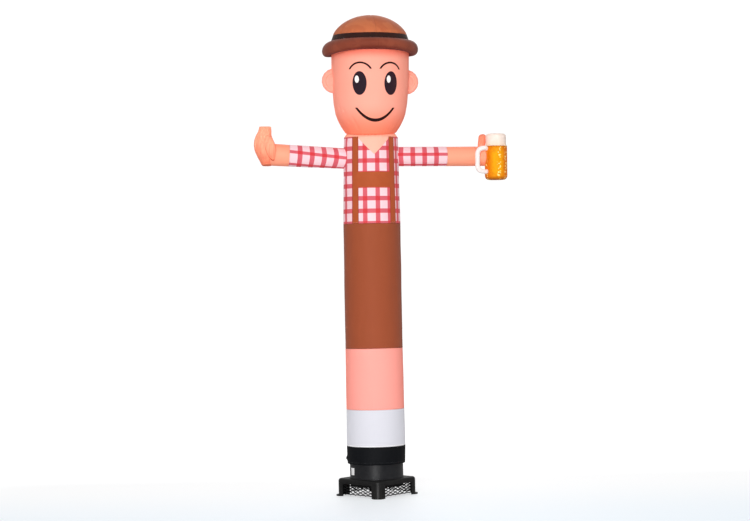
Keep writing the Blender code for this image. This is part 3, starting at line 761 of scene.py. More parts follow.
def stitch_tree():
    """A level ring of short stitches, each on the cloth that it meets on its way inwards."""
    size = Vector((0.003, 0.0005, 0.0005))
    tree, given = new_tree("stitches", {"Height": 1.0, "Radius": 0.3, "Count": 200, "Stitch": size})
    wire = Wire(tree)
    circle = {"Vertices": given["Count"], "Radius": given["Radius"]}
    ring = wire.make("GeometryNodeMeshCircle", values=circle)
    x, y, _ = wire.make("GeometryNodeInputPosition").split()
    ray = {"Source Position": wire.join(x, y, given["Height"]), "Ray Direction": wire.join(-x, -y, 0.0)}
    ray |= {"Target Geometry": given["Geometry"], "Ray Length": 1.0}
    hit = wire.make("GeometryNodeRaycast", values=ray)
    found = {socket.name: Wire(tree, socket) for socket in hit.socket.node.outputs}
    axes = {"Primary Axis": found["Hit Normal"], "Secondary Axis": wire.join(-y, x, 0.0)}
    sides = {"primary_axis": "Z", "secondary_axis": "X"}
    turned = store(ring, "turn", wire.make("FunctionNodeAxesToRotation", sides, axes), "QUATERNION")
    bead = wire.make("GeometryNodeMeshIcoSphere", values={"Radius": 1.0, "Subdivisions": 1})
    row = {"Points": put(turned, Position=found["Hit Position"]), "Instance": bead}
    row |= {"Rotation": recall(wire, "turn", "QUATERNION"), "Scale": given["Stitch"]}
    end_tree(tree, wire.make("GeometryNodeInstanceOnPoints", values=row))
    return tree


turned_cloth, crease, bow, stitches = turned_tree(), crease_tree(), bow_tree(), stitch_tree()


def fold(angle, height, tilt, length, width, depth):
    """Inputs of one crease: its angle round the panel and its tilt are in degrees."""
    return {
        "Angle": math.radians(angle), "Height": height, "Tilt": math.radians(tilt),
        "Length": length, "Width": width, "Depth": depth,
    }


def straight_curve(name, places):
    """Curve that runs straight from each place to the next."""
    curve = bpy.data.curves.new(name, "CURVE")
    curve.dimensions = "3D"
    spline = curve.splines.new("POLY")
    spline.points.add(len(places) - 1)
    for point, place in zip(spline.points, places):
        point.co = (*place, 1)
    return curve


def length_of(rows):
    return sum(math.dist(a, b) for a, b in zip(rows, rows[1:]))


def area_of(rows):
    return sum(math.pi * (a[0] + b[0]) * math.dist(a, b) for a, b in zip(rows, rows[1:]))


def turn_cloth(rows, creases=(), around=AROUND, pitch=ROW_PITCH, **folds):
    """Mesh of a panel turned from its outline of (radius, height) points, lower seam first."""
    outline = [(radius, 0, height) for radius, height in rows]
    holder = show("panel", straight_curve("outline", outline))
    count = max(4, round(length_of(rows) / pitch))
    grow(holder, turned_cloth, Around=around, Rows=count, **folds)
    for values in creases:
        grow(holder, crease, **values)
    mesh = plain_mesh(holder)
    bpy.data.objects.remove(holder)
    return mesh


def bow_and_paint(piece, material):
    """Bows the piece with the figure and gives it its material."""
    grow(piece, bow, Start=BOW_START, Radius=BOW_RADIUS, Axis=AXIS, Material=material)
    settle(piece)


def sew(name, mesh, material, slot, node, flat):
    piece = show(name, mesh)
    bow_and_paint(piece, material)
    wall = piece.modifiers.new("cloth", "SOLIDIFY")
    wall.thickness = CLOTH
    wall.offset = -1
    stand_for(piece, slot, node)


STITCH = Vector((0.0026, 0.0006, 0.0005))
STITCH_PITCH = 0.007
STITCH_EDGE = 0.006
RING_CLEARANCE = 0.04


def stitch(name, cloth, colour, radius, heights, place=None):
    """Rows of stitches round a panel at those heights, in thread of that colour."""

    def paint(wire):
        ply = wire.noise(700, 2.0, seed=8.0)
        tone = (ply * 0.6).mix(colour, wire.tinted(colour))
        return {"Base Color": tone, "Roughness": 0.6 + 0.2 * ply}

    rows = bmesh.new()
    reach = radius + RING_CLEARANCE
    count = round(math.tau * radius / STITCH_PITCH)
    for height in heights:
        ring = show("ring", cloth)
        grow(ring, stitches, Height=height, Radius=reach, Count=count, Stitch=STITCH)
        rows.from_mesh(plain_mesh(ring))
        bpy.data.objects.remove(ring)
    piece = show(f"stitches_{name}", as_mesh(rows, name))
    if place is not None:
        piece.data.transform(place)
    bow_and_paint(piece, new_material(f"thread_{name}", paint, Sheen_Weight=0.3))
    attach(piece, "root")


def panel(
    name, rows, material, slot, node, *, thread=None, rings=None, radius=None, creases=(),
    reshape=None, around=AROUND, pitch=ROW_PITCH, place=None, flat=None, area=None, rests_on=(),
    **puckers,
):
    """One panel of the figure: turned from its outline, reshaped, stitched and sewn in.

    Where they aren't given, the radius is that of its widest row, the flat size is the
    girth there by the length of the outline, and the rings of stitches are two above the
    lower seam and one below the upper.
    """
    mesh = turn_cloth(rows, creases, around, pitch, **puckers)
    if reshape:
        reshape(mesh)
    radius = radius or max(row[0] for row in rows)
    if thread:
        bottom, top = rows[0][1], rows[-1][1]
        usual = (bottom + STITCH_EDGE, bottom + 2 * STITCH_EDGE, top - STITCH_EDGE)
        stitch(name, mesh, thread, radius, rings or usual, place)
    if place is not None:
        mesh.transform(place)
    flat = flat or (math.tau * radius, length_of(rows))
    sew(f"{name}_cloth", mesh, material, slot, node, flat)


def kept(wire, name):
    """The three numbers that the cloth keeps under that name."""
    return wire.make("ShaderNodeAttribute", {"attribute_name": name}, out="Vector").split()


def rest_place(wire):
    """The cloth's place before it was puckered and bowed, and its angle from the front."""
    x, y, z = kept(wire, "rest")
    return x, y, z, x.math("ARCTAN2", -y)


THREADS = 3900
RIPSTOP = 420
FELLED_WIDTH = 0.010
SEAM_SHADOW_WIDTH = 0.0015


def woven(wire, colour, radius=0.27):
    """Sockets of coated ripstop polyester: thread, ripstop grid, crumple, felled seams with painted
    shadow.
    """
    _, _, z, angle = rest_place(wire)
    arc = angle * radius
    lower, upper, _ = kept(wire, "seams")
    edge = lower.math("MINIMUM", upper)
    thread = (arc * THREADS).math("SINE") * (z * THREADS).math("SINE")
    grid = [abs((side * RIPSTOP).math("SINE")).below(0.06, 0.04) for side in (arc, z)]
    ripstop = grid[0].math("MAXIMUM", grid[1])
    crumple = wire.noise(26, 3.0, seed=4.0)
    felled = edge.below(FELLED_WIDTH, 0.0012)
    relief = thread * 0.05 + ripstop * 0.12 + crumple * 2.2 + felled * 0.8
    bump = {"Strength": 0.5, "Distance": 0.001, "Height": relief}
    shade = wire.noise(2.4, 2.0, seed=9.0) * 0.10 + ripstop * 0.03
    # Painted shadow: the cloth darkens in a thin strip along each seam's edge.
    shade = shade + edge.below(SEAM_SHADOW_WIDTH, 0.001) * 0.25
    return {
        "Base Color": shade.mix(colour, wire.tinted(colour)),
        "Roughness": 0.58 + 0.12 * crumple,
        "Normal": wire.make("ShaderNodeBump", values=bump),
    }


def cloth_material(name, paint, glow=(1.0, 0.9, 0.85, 1.0), amount=0.1, **constants):
    """Soft coated polyester: little gloss, and a faint glow where it turns away."""
    return new_material(
        name, paint, Specular_IOR_Level=0.12, Sheen_Weight=amount, Sheen_Tint=glow,
        Sheen_Roughness=0.5, **constants,
    )


def plain_cloth(name, colour, **glow):
    return cloth_material(name, lambda wire: woven(wire, colour), **glow)


panel(
    "skirt",
    ((HEM_RADIUS, SKIRT_HEM), (SKIRT_BELLY_RADIUS, SKIRT_BELLY), (ANKLE_RADIUS, SKIRT_TOP)),
    plain_cloth("black_polyester", srgb(12, 14, 18), amount=0.0), "black_cloth", "skirt",
    thread=srgb(34, 36, 42),
    rings=(SKIRT_HEM + 0.014, SKIRT_HEM + 0.022, SKIRT_TOP - STITCH_EDGE),
    creases=[fold(-92, 0.352, 0, 0.020, 0.018, -0.013), fold(80, 0.35, 80, 0.05, 0.012, 0.004)],
    rests_on=["blower_outlet"],
    Puckers=26.0, Lower_Depth=0.004, Upper_Depth=0.0015, Reach=0.03, Slack=0.0015, Seed=1.0,
)


# ---- Sock and leg panels -------------------------------------------------------------
# Two plain bands of the same cloth, printed white for the socks and in a pale skin
# colour for the legs, each sewn to the next with a felled seam.

SOCK_TOP = 0.807
LEG_TOP = 1.374
SOCK_HEM = 0.012
CALF_RADIUS = 0.273
TUBE_RADIUS = 0.270
SOCK_WHITE = srgb(208, 208, 215)
HEM_WHITE = srgb(236, 236, 238)
LEG_SKIN = srgb(255, 170, 160)
SKIN_GLOW = (1.0, 0.26, 0.18, 1.0)
# Tints of the painted glow: the cloth gives off light of its own colour times these.
SKIN_PAINTED_GLOW = (0.17, 0.07, 0.04, 1.0)
WHITE_PAINTED_GLOW = (0.24, 0.24, 0.25, 1.0)


def painted_glow_cloth(name, paint, light, *glow):
    """Cloth with a painted glow: it gives off light of its own colour times the tint."""

    def lit(wire):
        sockets = paint(wire)
        # Painted glow: an emission of the painted colour times the tint.
        sockets["Emission Color"] = wire.tinted(sockets["Base Color"], light)
        return sockets

    return cloth_material(name, lit, *glow, Emission_Strength=1.0)


# Skin-coloured cloth with a painted red glow and a reddish sheen.
def skin_cloth(name, paint):
    return painted_glow_cloth(name, paint, SKIN_PAINTED_GLOW, SKIN_GLOW, 0.6)


def paint_sock(wire):
    """Greyish white, with a doubled and so whiter hem along its lower seam."""
    _, _, z, _ = rest_place(wire)
    hem = z.below(SKIRT_TOP + SOCK_HEM, 0.002)
    return woven(wire, hem.mix(SOCK_WHITE, HEM_WHITE))


def paint_leg(wire):
    return woven(wire, LEG_SKIN)


panel(
    "sock", ((ANKLE_RADIUS, SKIRT_TOP), (CALF_RADIUS, SOCK_TOP)),
    painted_glow_cloth("white_polyester", paint_sock, WHITE_PAINTED_GLOW, (1, 1, 1, 1), 0.4),
    "white_cloth", "sock_panel", thread=srgb(214, 214, 222),
    Puckers=44.0, Lower_Depth=0.0022, Upper_Depth=0.0014, Reach=0.04, Slack=0.002, Seed=2.0,
)
panel(
    "leg", ((CALF_RADIUS, SOCK_TOP), (TUBE_RADIUS, LEG_TOP)),
    skin_cloth("leg_polyester", paint_leg), "skin_cloth", "leg_panel", thread=srgb(240, 150, 138),
    Puckers=40.0, Lower_Depth=0.0014, Upper_Depth=0.0016, Reach=0.05, Slack=0.0025, Seed=3.0,
)


# ---- Trousers panel ------------------------------------------------------------------
# The longest band: brown cloth with a little more slack than the rest, so it shows soft
# upright folds where the air is low.

WAIST = 2.547

trouser_creases = [
    fold(-30, 1.62, 80, 0.14, 0.02, 0.0025),
    fold(38, 1.95, 97, 0.20, 0.025, 0.0025),
    fold(-62, 2.25, 85, 0.16, 0.02, 0.003),
    fold(12, 2.44, 92, 0.08, 0.015, 0.002),
]
panel(
    "trousers", ((TUBE_RADIUS, LEG_TOP), (TUBE_RADIUS, WAIST)),
    plain_cloth("brown_polyester", srgb(163, 81, 50)), "brown_cloth", "trousers_panel",
    thread=srgb(150, 76, 48), creases=trouser_creases,
    Puckers=38.0, Lower_Depth=0.0016, Upper_Depth=0.0018, Reach=0.06, Slack=0.003, Seed=4.0,
)


# ---- Shirt panel ---------------------------------------------------------------------
# White cloth with a printed red check. The open neck, the two braces and the strap
# across the chest are part of the print. The sleeves are sewn to its sides.

CHEST = 3.020
SHIRT_TOP = 3.362
CHEST_RADIUS = 0.262
SHOULDER_RADIUS = 0.2545
CHECK_ROUND = 14
CHECK_PITCH = 0.1175
CHECK_WIDTH = 0.042
CHECK_TURN = math.radians(4.7)
BRACE_ANGLE = math.radians(41.6)
BRACE_TURN = math.radians(1.2)
BRACE_WIDTH = 0.071
BRACE_EDGE = 0.007
STRAP_BOTTOM = 2.884
STRAP_TOP = 3.031
NECK_ANGLE = math.radians(34)
NECK_BOTTOM = 3.193
NECK_TOP = 3.346
WHITE_PRINT = srgb(237, 207, 213)
# Tint of the painted glow that the checked cloth gives off.
CHECK_PAINTED_GLOW = (0.24, 0.14, 0.15, 1.0)
PINK_PRINT = srgb(207, 95, 107)
RED_PRINT = srgb(208, 60, 66)
SKIN_PRINT = srgb(255, 177, 159)
COLLAR_PRINT = srgb(255, 186, 163)
BROWN_PRINT = srgb(172, 84, 45)
WORN_PRINT = srgb(140, 62, 34)
EDGE_PRINT = srgb(120, 48, 34)
CHECK_THREAD = srgb(228, 190, 200)
PRINT_BLUR = 0.0012


def stripe(value, pitch, width, offset=0.0, blur=PRINT_BLUR):
    """1 on stripes of that width and pitch, one of them centred on the offset."""
    share = (value - (offset - pitch / 2)).math("FLOORED_MODULO", pitch)
    return abs(share - pitch / 2).below(width / 2, blur)


def check_print(wire, across, along):
    """White with pink stripes both ways, and red where they cross."""
    either = across.math("MAXIMUM", along)
    return (across * along).mix(either.mix(WHITE_PRINT, PINK_PRINT), RED_PRINT)


def paint_shirt(wire):
    """The check, the open neck's point, and braces and chest strap with darker edges."""
    _, _, z, angle = rest_place(wire)
    arc = angle * CHEST_RADIUS
    pitch_round = math.tau * CHEST_RADIUS / CHECK_ROUND
    upright = stripe(arc, pitch_round, CHECK_WIDTH, CHECK_TURN * CHEST_RADIUS)
    colour = check_print(wire, upright, stripe(z, CHECK_PITCH, CHECK_WIDTH, WAIST))
    front = abs(arc + BRACE_TURN * CHEST_RADIUS)
    neck_slope = (NECK_TOP - NECK_BOTTOM) / (NECK_ANGLE * CHEST_RADIUS)
    shirt = (z - front * neck_slope).below(NECK_BOTTOM, PRINT_BLUR)
    colour = (1 - shirt).mix(colour, COLLAR_PRINT)
    brace_arc = BRACE_ANGLE * CHEST_RADIUS
    from_brace = abs(front.math("PINGPONG", math.pi / 2 * CHEST_RADIUS) - brace_arc)
    brace = from_brace.below(BRACE_WIDTH / 2, PRINT_BLUR)
    inside = from_brace.below(BRACE_WIDTH / 2 - BRACE_EDGE, PRINT_BLUR)
    half_strap = (STRAP_TOP - STRAP_BOTTOM) / 2
    strap = abs(z - STRAP_TOP + half_strap).below(half_strap, PRINT_BLUR)
    strap = strap * front.below(brace_arc, PRINT_BLUR)
    worn = wire.noise(14, 3.0, seed=4.0).below(0.48, 0.25)
    brown = ((1 - worn) * 0.2).mix(BROWN_PRINT, WORN_PRINT)
    brown = ((brace - inside) * (1 - strap) * 0.55).mix(brown, EDGE_PRINT)
    return woven(wire, brace.math("MAXIMUM", strap).mix(colour, brown), CHEST_RADIUS)


SHIRT_ROWS = ((TUBE_RADIUS, WAIST), (CHEST_RADIUS, CHEST), (SHOULDER_RADIUS, SHIRT_TOP))
shirt_creases = [
    fold(-78, 3.02, 60, 0.09, 0.014, 0.005),
    fold(-66, 3.33, -40, 0.05, 0.012, 0.004),
    fold(74, 3.02, -62, 0.09, 0.014, 0.005),
    fold(64, 3.32, 42, 0.05, 0.012, 0.004),
    fold(-100, 3.05, 100, 0.07, 0.014, 0.005),
    fold(104, 3.05, 82, 0.07, 0.014, 0.005),
]
panel(
    "shirt", SHIRT_ROWS, painted_glow_cloth("checked_polyester", paint_shirt, CHECK_PAINTED_GLOW),
    "check_cloth", "shirt_panel", thread=CHECK_THREAD, creases=shirt_creases,
    area=area_of(SHIRT_ROWS),
    Puckers=36.0, Lower_Depth=0.0018, Upper_Depth=0.004, Reach=0.05, Slack=0.003, Seed=5.0,
)


# ---- Neck and head -------------------------------------------------------------------
# The neck is a gusset that draws the tube in to the chin. The head swells above it, and
# carries a plain printed face: oval eyes, brows and a smile.

NECK_RADIUS = 0.2165
NECK_SEAM = 3.414
CHIN_TURN = math.radians(-10)
CHIN_REACH = 0.20
CHIN_SAG = 0.086
CHIN_SWELL = 0.027
CHIN_ROUND = 0.028
HEAD_TOP = 4.163
HEAD_RADIUS = 0.366
HEAD_SECTIONS = (
    (0.000, NECK_RADIUS), (CHIN_ROUND, 0.251), (0.074, 0.286), (0.121, 0.312), (0.168, 0.330),
    (0.267, 0.347), (0.360, 0.354), (0.430, 0.359), (0.500, 0.3615), (0.600, 0.3645),
    (HEAD_TOP - NECK_SEAM, HEAD_RADIUS),
)
FACE_RADIUS = 0.356
FACE_MIDDLE = 3.800
EYE_SPREAD = 0.150
EYE_SIZE = (0.068, 0.110)
EYE_HEIGHT = 0.050
GLINT_SIZE = (0.020, 0.034)
GLINT_PLACE = (-0.024, 0.036)
BROW_RADIUS = 0.115
BROW_WIDTH = 0.017
BROW_MIDDLE = (EYE_SPREAD - 0.006, 0.125)
BROW_ENDS = (0.055, 1.0)
SMILE_RADIUS = 0.245
SMILE_WIDTH = 0.021
SMILE_DROP = 0.270
SMILE_ENDS = (-1.0, -0.150)
INK = srgb(18, 4, 5)
EYE_INK = srgb(30, 22, 36)
GLINT_WHITE = (0.93, 0.93, 0.93, 1)
SKIN_PATCH = srgb(250, 158, 134)
# Colours of the painted shade at the chin and of the painted shadow under the hat.
CHIN_PAINTED_SHADE = srgb(250, 132, 100)
CHIN_SHADE_BLUR = 0.13
BRIM_PAINTED_SHADOW = srgb(242, 118, 96)
BRIM_SHADOW_BLUR = 0.048
NECK_SKIN = srgb(255, 204, 178)


def oval(x, z, centre, size, blur=0.03):
    """1 inside an upright oval."""
    across = (x - centre[0]) / size[0]
    up = (z - centre[1]) / size[1]
    return (across * across + up * up).below(1.0, blur)


def arc_line(x, z, centre, radius, width, limits):
    """1 on a round line between two heights."""
    across, up = x - centre[0], z - centre[1]
    reach = (across * across + up * up).math("SQRT")
    line = abs(reach - radius).below(width / 2, PRINT_BLUR)
    return line * up.below(limits[1], PRINT_BLUR) * (1 - up.below(limits[0], PRINT_BLUR))


def skin_tone(wire, colour=SKIN_PRINT):
    """Skin print that is a little deeper in patches, as the ink takes unevenly."""
    return (wire.noise(3.0, 2.0, seed=12.0) * 0.35).mix(colour, SKIN_PATCH)


def paint_head(wire):
    """Skin, with painted shade redder at the chin and under the hat, and the face printed on its front.
    """
    _, _, height, angle = rest_place(wire)
    x, z = angle * FACE_RADIUS, height - FACE_MIDDLE
    # Painted shade: the skin reddens towards the chin.
    chin = (height - NECK_SEAM).below(CHIN_SHADE_BLUR, CHIN_SHADE_BLUR)
    colour = chin.mix(skin_tone(wire), CHIN_PAINTED_SHADE)
    # Painted shadow: the skin reddens just under the hat's brim.
    hat_edge = 1 - height.below(HEAD_TOP - BRIM_SHADOW_BLUR, BRIM_SHADOW_BLUR)
    colour = (hat_edge * 0.9).mix(colour, BRIM_PAINTED_SHADOW)
    side = abs(x)
    colour = oval(side, z, (EYE_SPREAD, EYE_HEIGHT), EYE_SIZE).mix(colour, EYE_INK)
    for eye in (-EYE_SPREAD, EYE_SPREAD):
        place = (eye + GLINT_PLACE[0], EYE_HEIGHT + GLINT_PLACE[1])
        colour = oval(x, z, place, GLINT_SIZE, 0.06).mix(colour, GLINT_WHITE)
    brow = arc_line(side, z, BROW_MIDDLE, BROW_RADIUS, BROW_WIDTH, BROW_ENDS)
    smile_middle = (0.0, SMILE_RADIUS - SMILE_DROP)
    smile = arc_line(x, z, smile_middle, SMILE_RADIUS, SMILE_WIDTH, SMILE_ENDS)
    return woven(wire, brow.math("MAXIMUM", smile).mix(colour, INK), FACE_RADIUS)


def paint_neck(wire):
    return woven(wire, skin_tone(wire, NECK_SKIN), NECK_RADIUS)


def sag_chin(mesh):
    """Lets the jaw hang over the neck seam, most at the front, where it also swells."""
    for vertex in mesh.vertices:
        x, y, z = vertex.co
        height = z - NECK_SEAM
        if 0 < height < CHIN_REACH:
            turn = math.atan2(x, -y) - CHIN_TURN
            front = 0.5 + 0.5 * math.cos(turn)
            fall = min(1, height / CHIN_ROUND) * (1 - height / CHIN_REACH) ** 1.5 * front
            swell = 1 + CHIN_SWELL * math.cos(2 * turn) * fall / math.hypot(x, y)
            vertex.co = (x * swell, y * swell, z - CHIN_SAG * fall)


NECK_ROWS = ((SHOULDER_RADIUS, SHIRT_TOP), (NECK_RADIUS, NECK_SEAM))
HEAD_ROWS = [(radius, NECK_SEAM + height) for height, radius in HEAD_SECTIONS]
panel(
    "neck", NECK_ROWS, skin_cloth("neck_polyester", paint_neck), "skin_cloth", "neck_panel",
    area=area_of(NECK_ROWS), pitch=0.006,
    Puckers=46.0, Lower_Depth=0.003, Upper_Depth=0.006, Reach=0.03, Slack=0.002, Seed=6.0,
)
head_creases = [
    fold(-66, 3.635, 118, 0.018, 0.009, 0.007),
    fold(-56, 3.600, 132, 0.020, 0.009, 0.008),
    fold(-48, 3.520, 150, 0.020, 0.009, 0.007),
    fold(-38, 3.530, 128, 0.020, 0.010, 0.008),
    fold(-33, 3.490, 108, 0.016, 0.009, 0.006),
    fold(52, 3.50, 66, 0.055, 0.012, 0.005),
]
panel(
    "head", HEAD_ROWS, skin_cloth("face_polyester", paint_head), "skin_cloth", "head_panel",
    thread=srgb(240, 150, 130), rings=(HEAD_TOP - STITCH_EDGE, HEAD_TOP - 2 * STITCH_EDGE),
    reshape=sag_chin, creases=head_creases, around=280, pitch=0.008, area=area_of(HEAD_ROWS),
    Puckers=48.0, Lower_Depth=0.007, Upper_Depth=0.003, Reach=0.045, Slack=0.0025, Seed=7.0,
)


# ---- Ears ----------------------------------------------------------------------------
# Each ear is two half-round pieces sewn edge to edge and to the side of the head, and
# fed with air through it. A round hollow and a line of painted shade mark its inner fold.

LEFT_EAR_HEIGHT = 3.895
RIGHT_EAR_HEIGHT = 3.886
EAR_CENTRE = 0.340
EAR_SIZE = (0.120, 0.050, 0.117)
EAR_FLAT = (2 * math.pi * EAR_SIZE[0] / 1.6, 2 * EAR_SIZE[2] * 1.25)
EAR_FOLD = ((0.075, 0.073), (0.069, 0.067))
EAR_FOLD_SHADE = srgb(232, 120, 92)


def paint_ear(wire):
    """Skin with a line of painted shade along the ear's inner fold, front and back."""
    x, _, z, _ = rest_place(wire)
    up = z - (LEFT_EAR_HEIGHT + RIGHT_EAR_HEIGHT) / 2
    ring = [oval(abs(x), up, (EAR_CENTRE + 0.012, 0.0), size, 0.05) for size in EAR_FOLD]
    upper = (1 - up.below(-0.045, 0.02)) * (1 - abs(x).below(EAR_CENTRE + 0.015, 0.02))
    # Painted shade: a darker line in the crease of the inner fold.
    line = (ring[0] - ring[1]) * upper * 0.5
    return woven(wire, line.mix(skin_tone(wire), EAR_FOLD_SHADE), FACE_RADIUS)


def ear_mesh(side, height):
    """Flattened ball with a round hollow and a puckered rim, mirrored for the left side."""
    ear = bmesh.new()
    bmesh.ops.create_uvsphere(ear, u_segments=48, v_segments=32, radius=1)
    for vertex in ear.verts:
        x, y, z = vertex.co
        hollow = math.exp(-(((math.hypot(x - 0.1, z) - 0.52) / 0.16) ** 2)) if y else 0
        rim = 1 - 0.02 * (1 - abs(y)) ** 3 * (0.5 + 0.5 * math.sin(17 * math.atan2(z, x)))
        shares = (x * rim, y * (1 - 0.34 * hollow), z * rim)
        vertex.co = [share * size for share, size in zip(shares, EAR_SIZE)]
    if side < 0:
        bmesh.ops.scale(ear, vec=(-1, 1, 1), verts=ear.verts)
        bmesh.ops.reverse_faces(ear, faces=ear.faces)
    bmesh.ops.translate(ear, vec=(side * EAR_CENTRE, 0, height), verts=ear.verts)
    return keep_rest(as_mesh(ear, "ear"))


def keep_rest(mesh):
    """Stores where each point lies before the bow, and far from any seam."""
    mesh.shade_smooth()
    rest = mesh.attributes.new("rest", "FLOAT_VECTOR", "POINT")
    rest.data.foreach_set("vector", [c for v in mesh.vertices for c in v.co])
    seams = mesh.attributes.new("seams", "FLOAT_VECTOR", "POINT")
    seams.data.foreach_set("vector", [1.0] * (3 * len(mesh.vertices)))
    return mesh


ear_paint = skin_cloth("ear_polyester", paint_ear)
for name, side, height in (("ear_left", -1, LEFT_EAR_HEIGHT), ("ear_right", 1, RIGHT_EAR_HEIGHT)):
    sew(
        f"{name}_cloth", ear_mesh(side, height), ear_paint, "skin_cloth", name, EAR_FLAT,
    )


# ---- Hat -----------------------------------------------------------------------------
# A blown-up roll for the brim, a dark band above it and a domed crown of six gores. The
# roll is fuller and hangs a little at the sides of the head.

BRIM_TOP = 4.271
BAND_TOP = 4.319
HAT_TOP = 4.511
HAT_RADIUS = 0.3485
BRIM_REACH = 0.087
LEFT_BRIM_SAG = 0.044
RIGHT_BRIM_SAG = 0.030
BRIM_SIDE_FULLNESS = 0.5
DOME_POWER = 1.38
GORES = 6
GORE_TURN = 2
GORE_SEAM = srgb(90, 36, 24)
BRIM_UNDERSIDE_SHADOW = srgb(112, 30, 12)


def sag_brim(mesh):
    """Fills the roll out at the sides of the head and lets it hang there."""
    middle = (HEAD_TOP + BRIM_TOP) / 2
    for vertex in mesh.vertices:
        radius = math.hypot(vertex.co.x, vertex.co.y)
        bulge = max(0.0, (radius - HEAD_RADIUS - CLOTH) / BRIM_REACH)
        side = (vertex.co.x / radius) ** 2 * math.sqrt(min(1.0, bulge))
        sag = LEFT_BRIM_SAG if vertex.co.x < 0 else RIGHT_BRIM_SAG
        vertex.co.z += (vertex.co.z - middle) * BRIM_SIDE_FULLNESS * side - sag * side


def hat_paint(name, colour, deep):
    """Unevenly faded cloth with the gores' seams, and painted shadow darkest at the brim's lower edge.
    """

    def paint(wire):
        _, _, z, angle = rest_place(wire)
        seam = stripe(angle, math.tau / GORES, 0.012, math.radians(GORE_TURN))
        patch = wire.noise(5.0, 2.0, seed=20.0)
        faded = wire.noise(9.0, 1.0, seed=21.0).below(0.50, 0.06)
        tone = (patch * 0.75 + (1 - faded) * 0.25).mix(colour, deep)
        # Painted shadow: the brim darkens towards its lower edge.
        tone = (z.below(HEAD_TOP + 0.018, 0.016) * 0.9).mix(tone, BRIM_UNDERSIDE_SHADOW)
        return woven(wire, (seam * 0.25).mix(tone, GORE_SEAM), HAT_RADIUS)

    return cloth_material(name, paint)


middle, half = (HEAD_TOP + BRIM_TOP) / 2, (BRIM_TOP - HEAD_TOP) / 2
BRIM_ROWS = [
    (HEAD_RADIUS + BRIM_REACH * math.cos(a), middle + half * math.sin(a))
    for a in (math.pi * (i / 24 - 0.5) for i in range(25))
]
DOME_ROWS = [
    (HAT_RADIUS * math.cos(a), BAND_TOP + (HAT_TOP - BAND_TOP) * math.sin(a) ** DOME_POWER)
    for a in (math.pi / 2 * i / 30 for i in range(31))
]
DOME_ROWS[-1] = (0.00001, HAT_TOP)
panel(
    "brim", BRIM_ROWS, hat_paint("brim_polyester", srgb(162, 82, 59), srgb(122, 54, 38)),
    "hat_cloth", "hat_brim", reshape=sag_brim, around=224, pitch=0.008,
    Puckers=64.0, Lower_Depth=0.008, Upper_Depth=0.006, Reach=0.03, Slack=0.002, Seed=8.0,
)
panel(
    "band", ((HEAD_RADIUS, BRIM_TOP), (HAT_RADIUS, BAND_TOP)),
    hat_paint("band_polyester", srgb(58, 30, 24), srgb(40, 20, 18)), "band_cloth", "hat_band",
    thread=srgb(70, 40, 32), rings=(BRIM_TOP + STITCH_EDGE, BAND_TOP - STITCH_EDGE), pitch=0.006,
    Puckers=40.0, Lower_Depth=0.002, Upper_Depth=0.002, Reach=0.02, Slack=0.001, Seed=9.0,
)
gore_creases = [
    fold(GORE_TURN + 360 / GORES * gore, BAND_TOP + 0.06, 90, 0.16, 0.010, 0.004)
    for gore in range(-2, 4)
]
dome_length = length_of(DOME_ROWS)
panel(
    "crown", DOME_ROWS, hat_paint("crown_polyester", srgb(225, 132, 84), srgb(188, 92, 60)),
    "hat_cloth", "hat_top", thread=srgb(176, 96, 62),
    rings=(BAND_TOP + STITCH_EDGE, BAND_TOP + 2 * STITCH_EDGE), creases=gore_creases,
    flat=(2 * dome_length, 2 * dome_length), area=math.pi * dome_length**2,
    Puckers=36.0, Lower_Depth=0.005, Upper_Depth=0.0, Reach=0.04, Slack=0.003, Seed=10.0,
)


# ---- Sleeves and forearms ------------------------------------------------------------
# Four short tubes. The checked sleeves are sewn into the sides of the shirt, and the
# skin-coloured forearms to the sleeves' cuffs. The left arm rises a little.

LEFT_HEIGHT = 3.151
RIGHT_HEIGHT = 3.182
LEFT_RISE = math.radians(3.3)
LEFT_RADII = (0.097, 0.1015)
RIGHT_RADII = (0.092, 0.0925)
LEFT_CUFF = 0.779
RIGHT_CUFF = 0.720
LEFT_WRIST = 0.985
RIGHT_WRIST = 0.996
SLEEVE_START = 0.240
SLEEVE_TUCK = 0.006
SLEEVE_ROUND = 5
SLEEVE_STRIPE = 0.031
SLEEVE_PITCH = 0.113
SLEEVE_WIDTH = 0.045
ARM_AROUND = 72
ARM_PITCH = 0.010
ARM_SKIN = srgb(254, 172, 141)
ARM_THREAD = srgb(240, 150, 122)


def arm_frame(side, height, rise):
    """Local Z runs from the figure's axis out along the arm, and local -Y stays in front."""
    out = Vector((side * math.cos(rise), 0, math.sin(rise)))
    front = Vector((0, 1, 0))
    turn = Matrix((front.cross(out), front, out)).transposed().to_4x4()
    return Matrix.Translation((0, 0, height)) @ turn


def arm_radius(radii, cuff, along):
    return radii[0] + (radii[1] - radii[0]) * (along - TUBE_RADIUS) / (cuff - TUBE_RADIUS)


def arm_rows(radii, cuff, start, end):
    return ((arm_radius(radii, cuff, start), start), (arm_radius(radii, cuff, end), end))


def shirt_radius(height):
    """The shirt's radius at a height above the chest."""
    share = (height - CHEST) / (SHIRT_TOP - CHEST)
    return CHEST_RADIUS + (SHOULDER_RADIUS - CHEST_RADIUS) * share


def fit_shoulder(mesh, place, cuff):
    """Runs the sleeve's inner end back to the curve of the shirt, just under its surface."""
    for vertex in mesh.vertices:
        share = (vertex.co.z - SLEEVE_START) / (cuff - SLEEVE_START)
        spot = place @ vertex.co
        radius = shirt_radius(spot.z) - SLEEVE_TUCK
        under = math.sqrt(max(0.0, radius**2 - spot.y**2))
        vertex.co.z += (under - SLEEVE_START) * (1 - share)


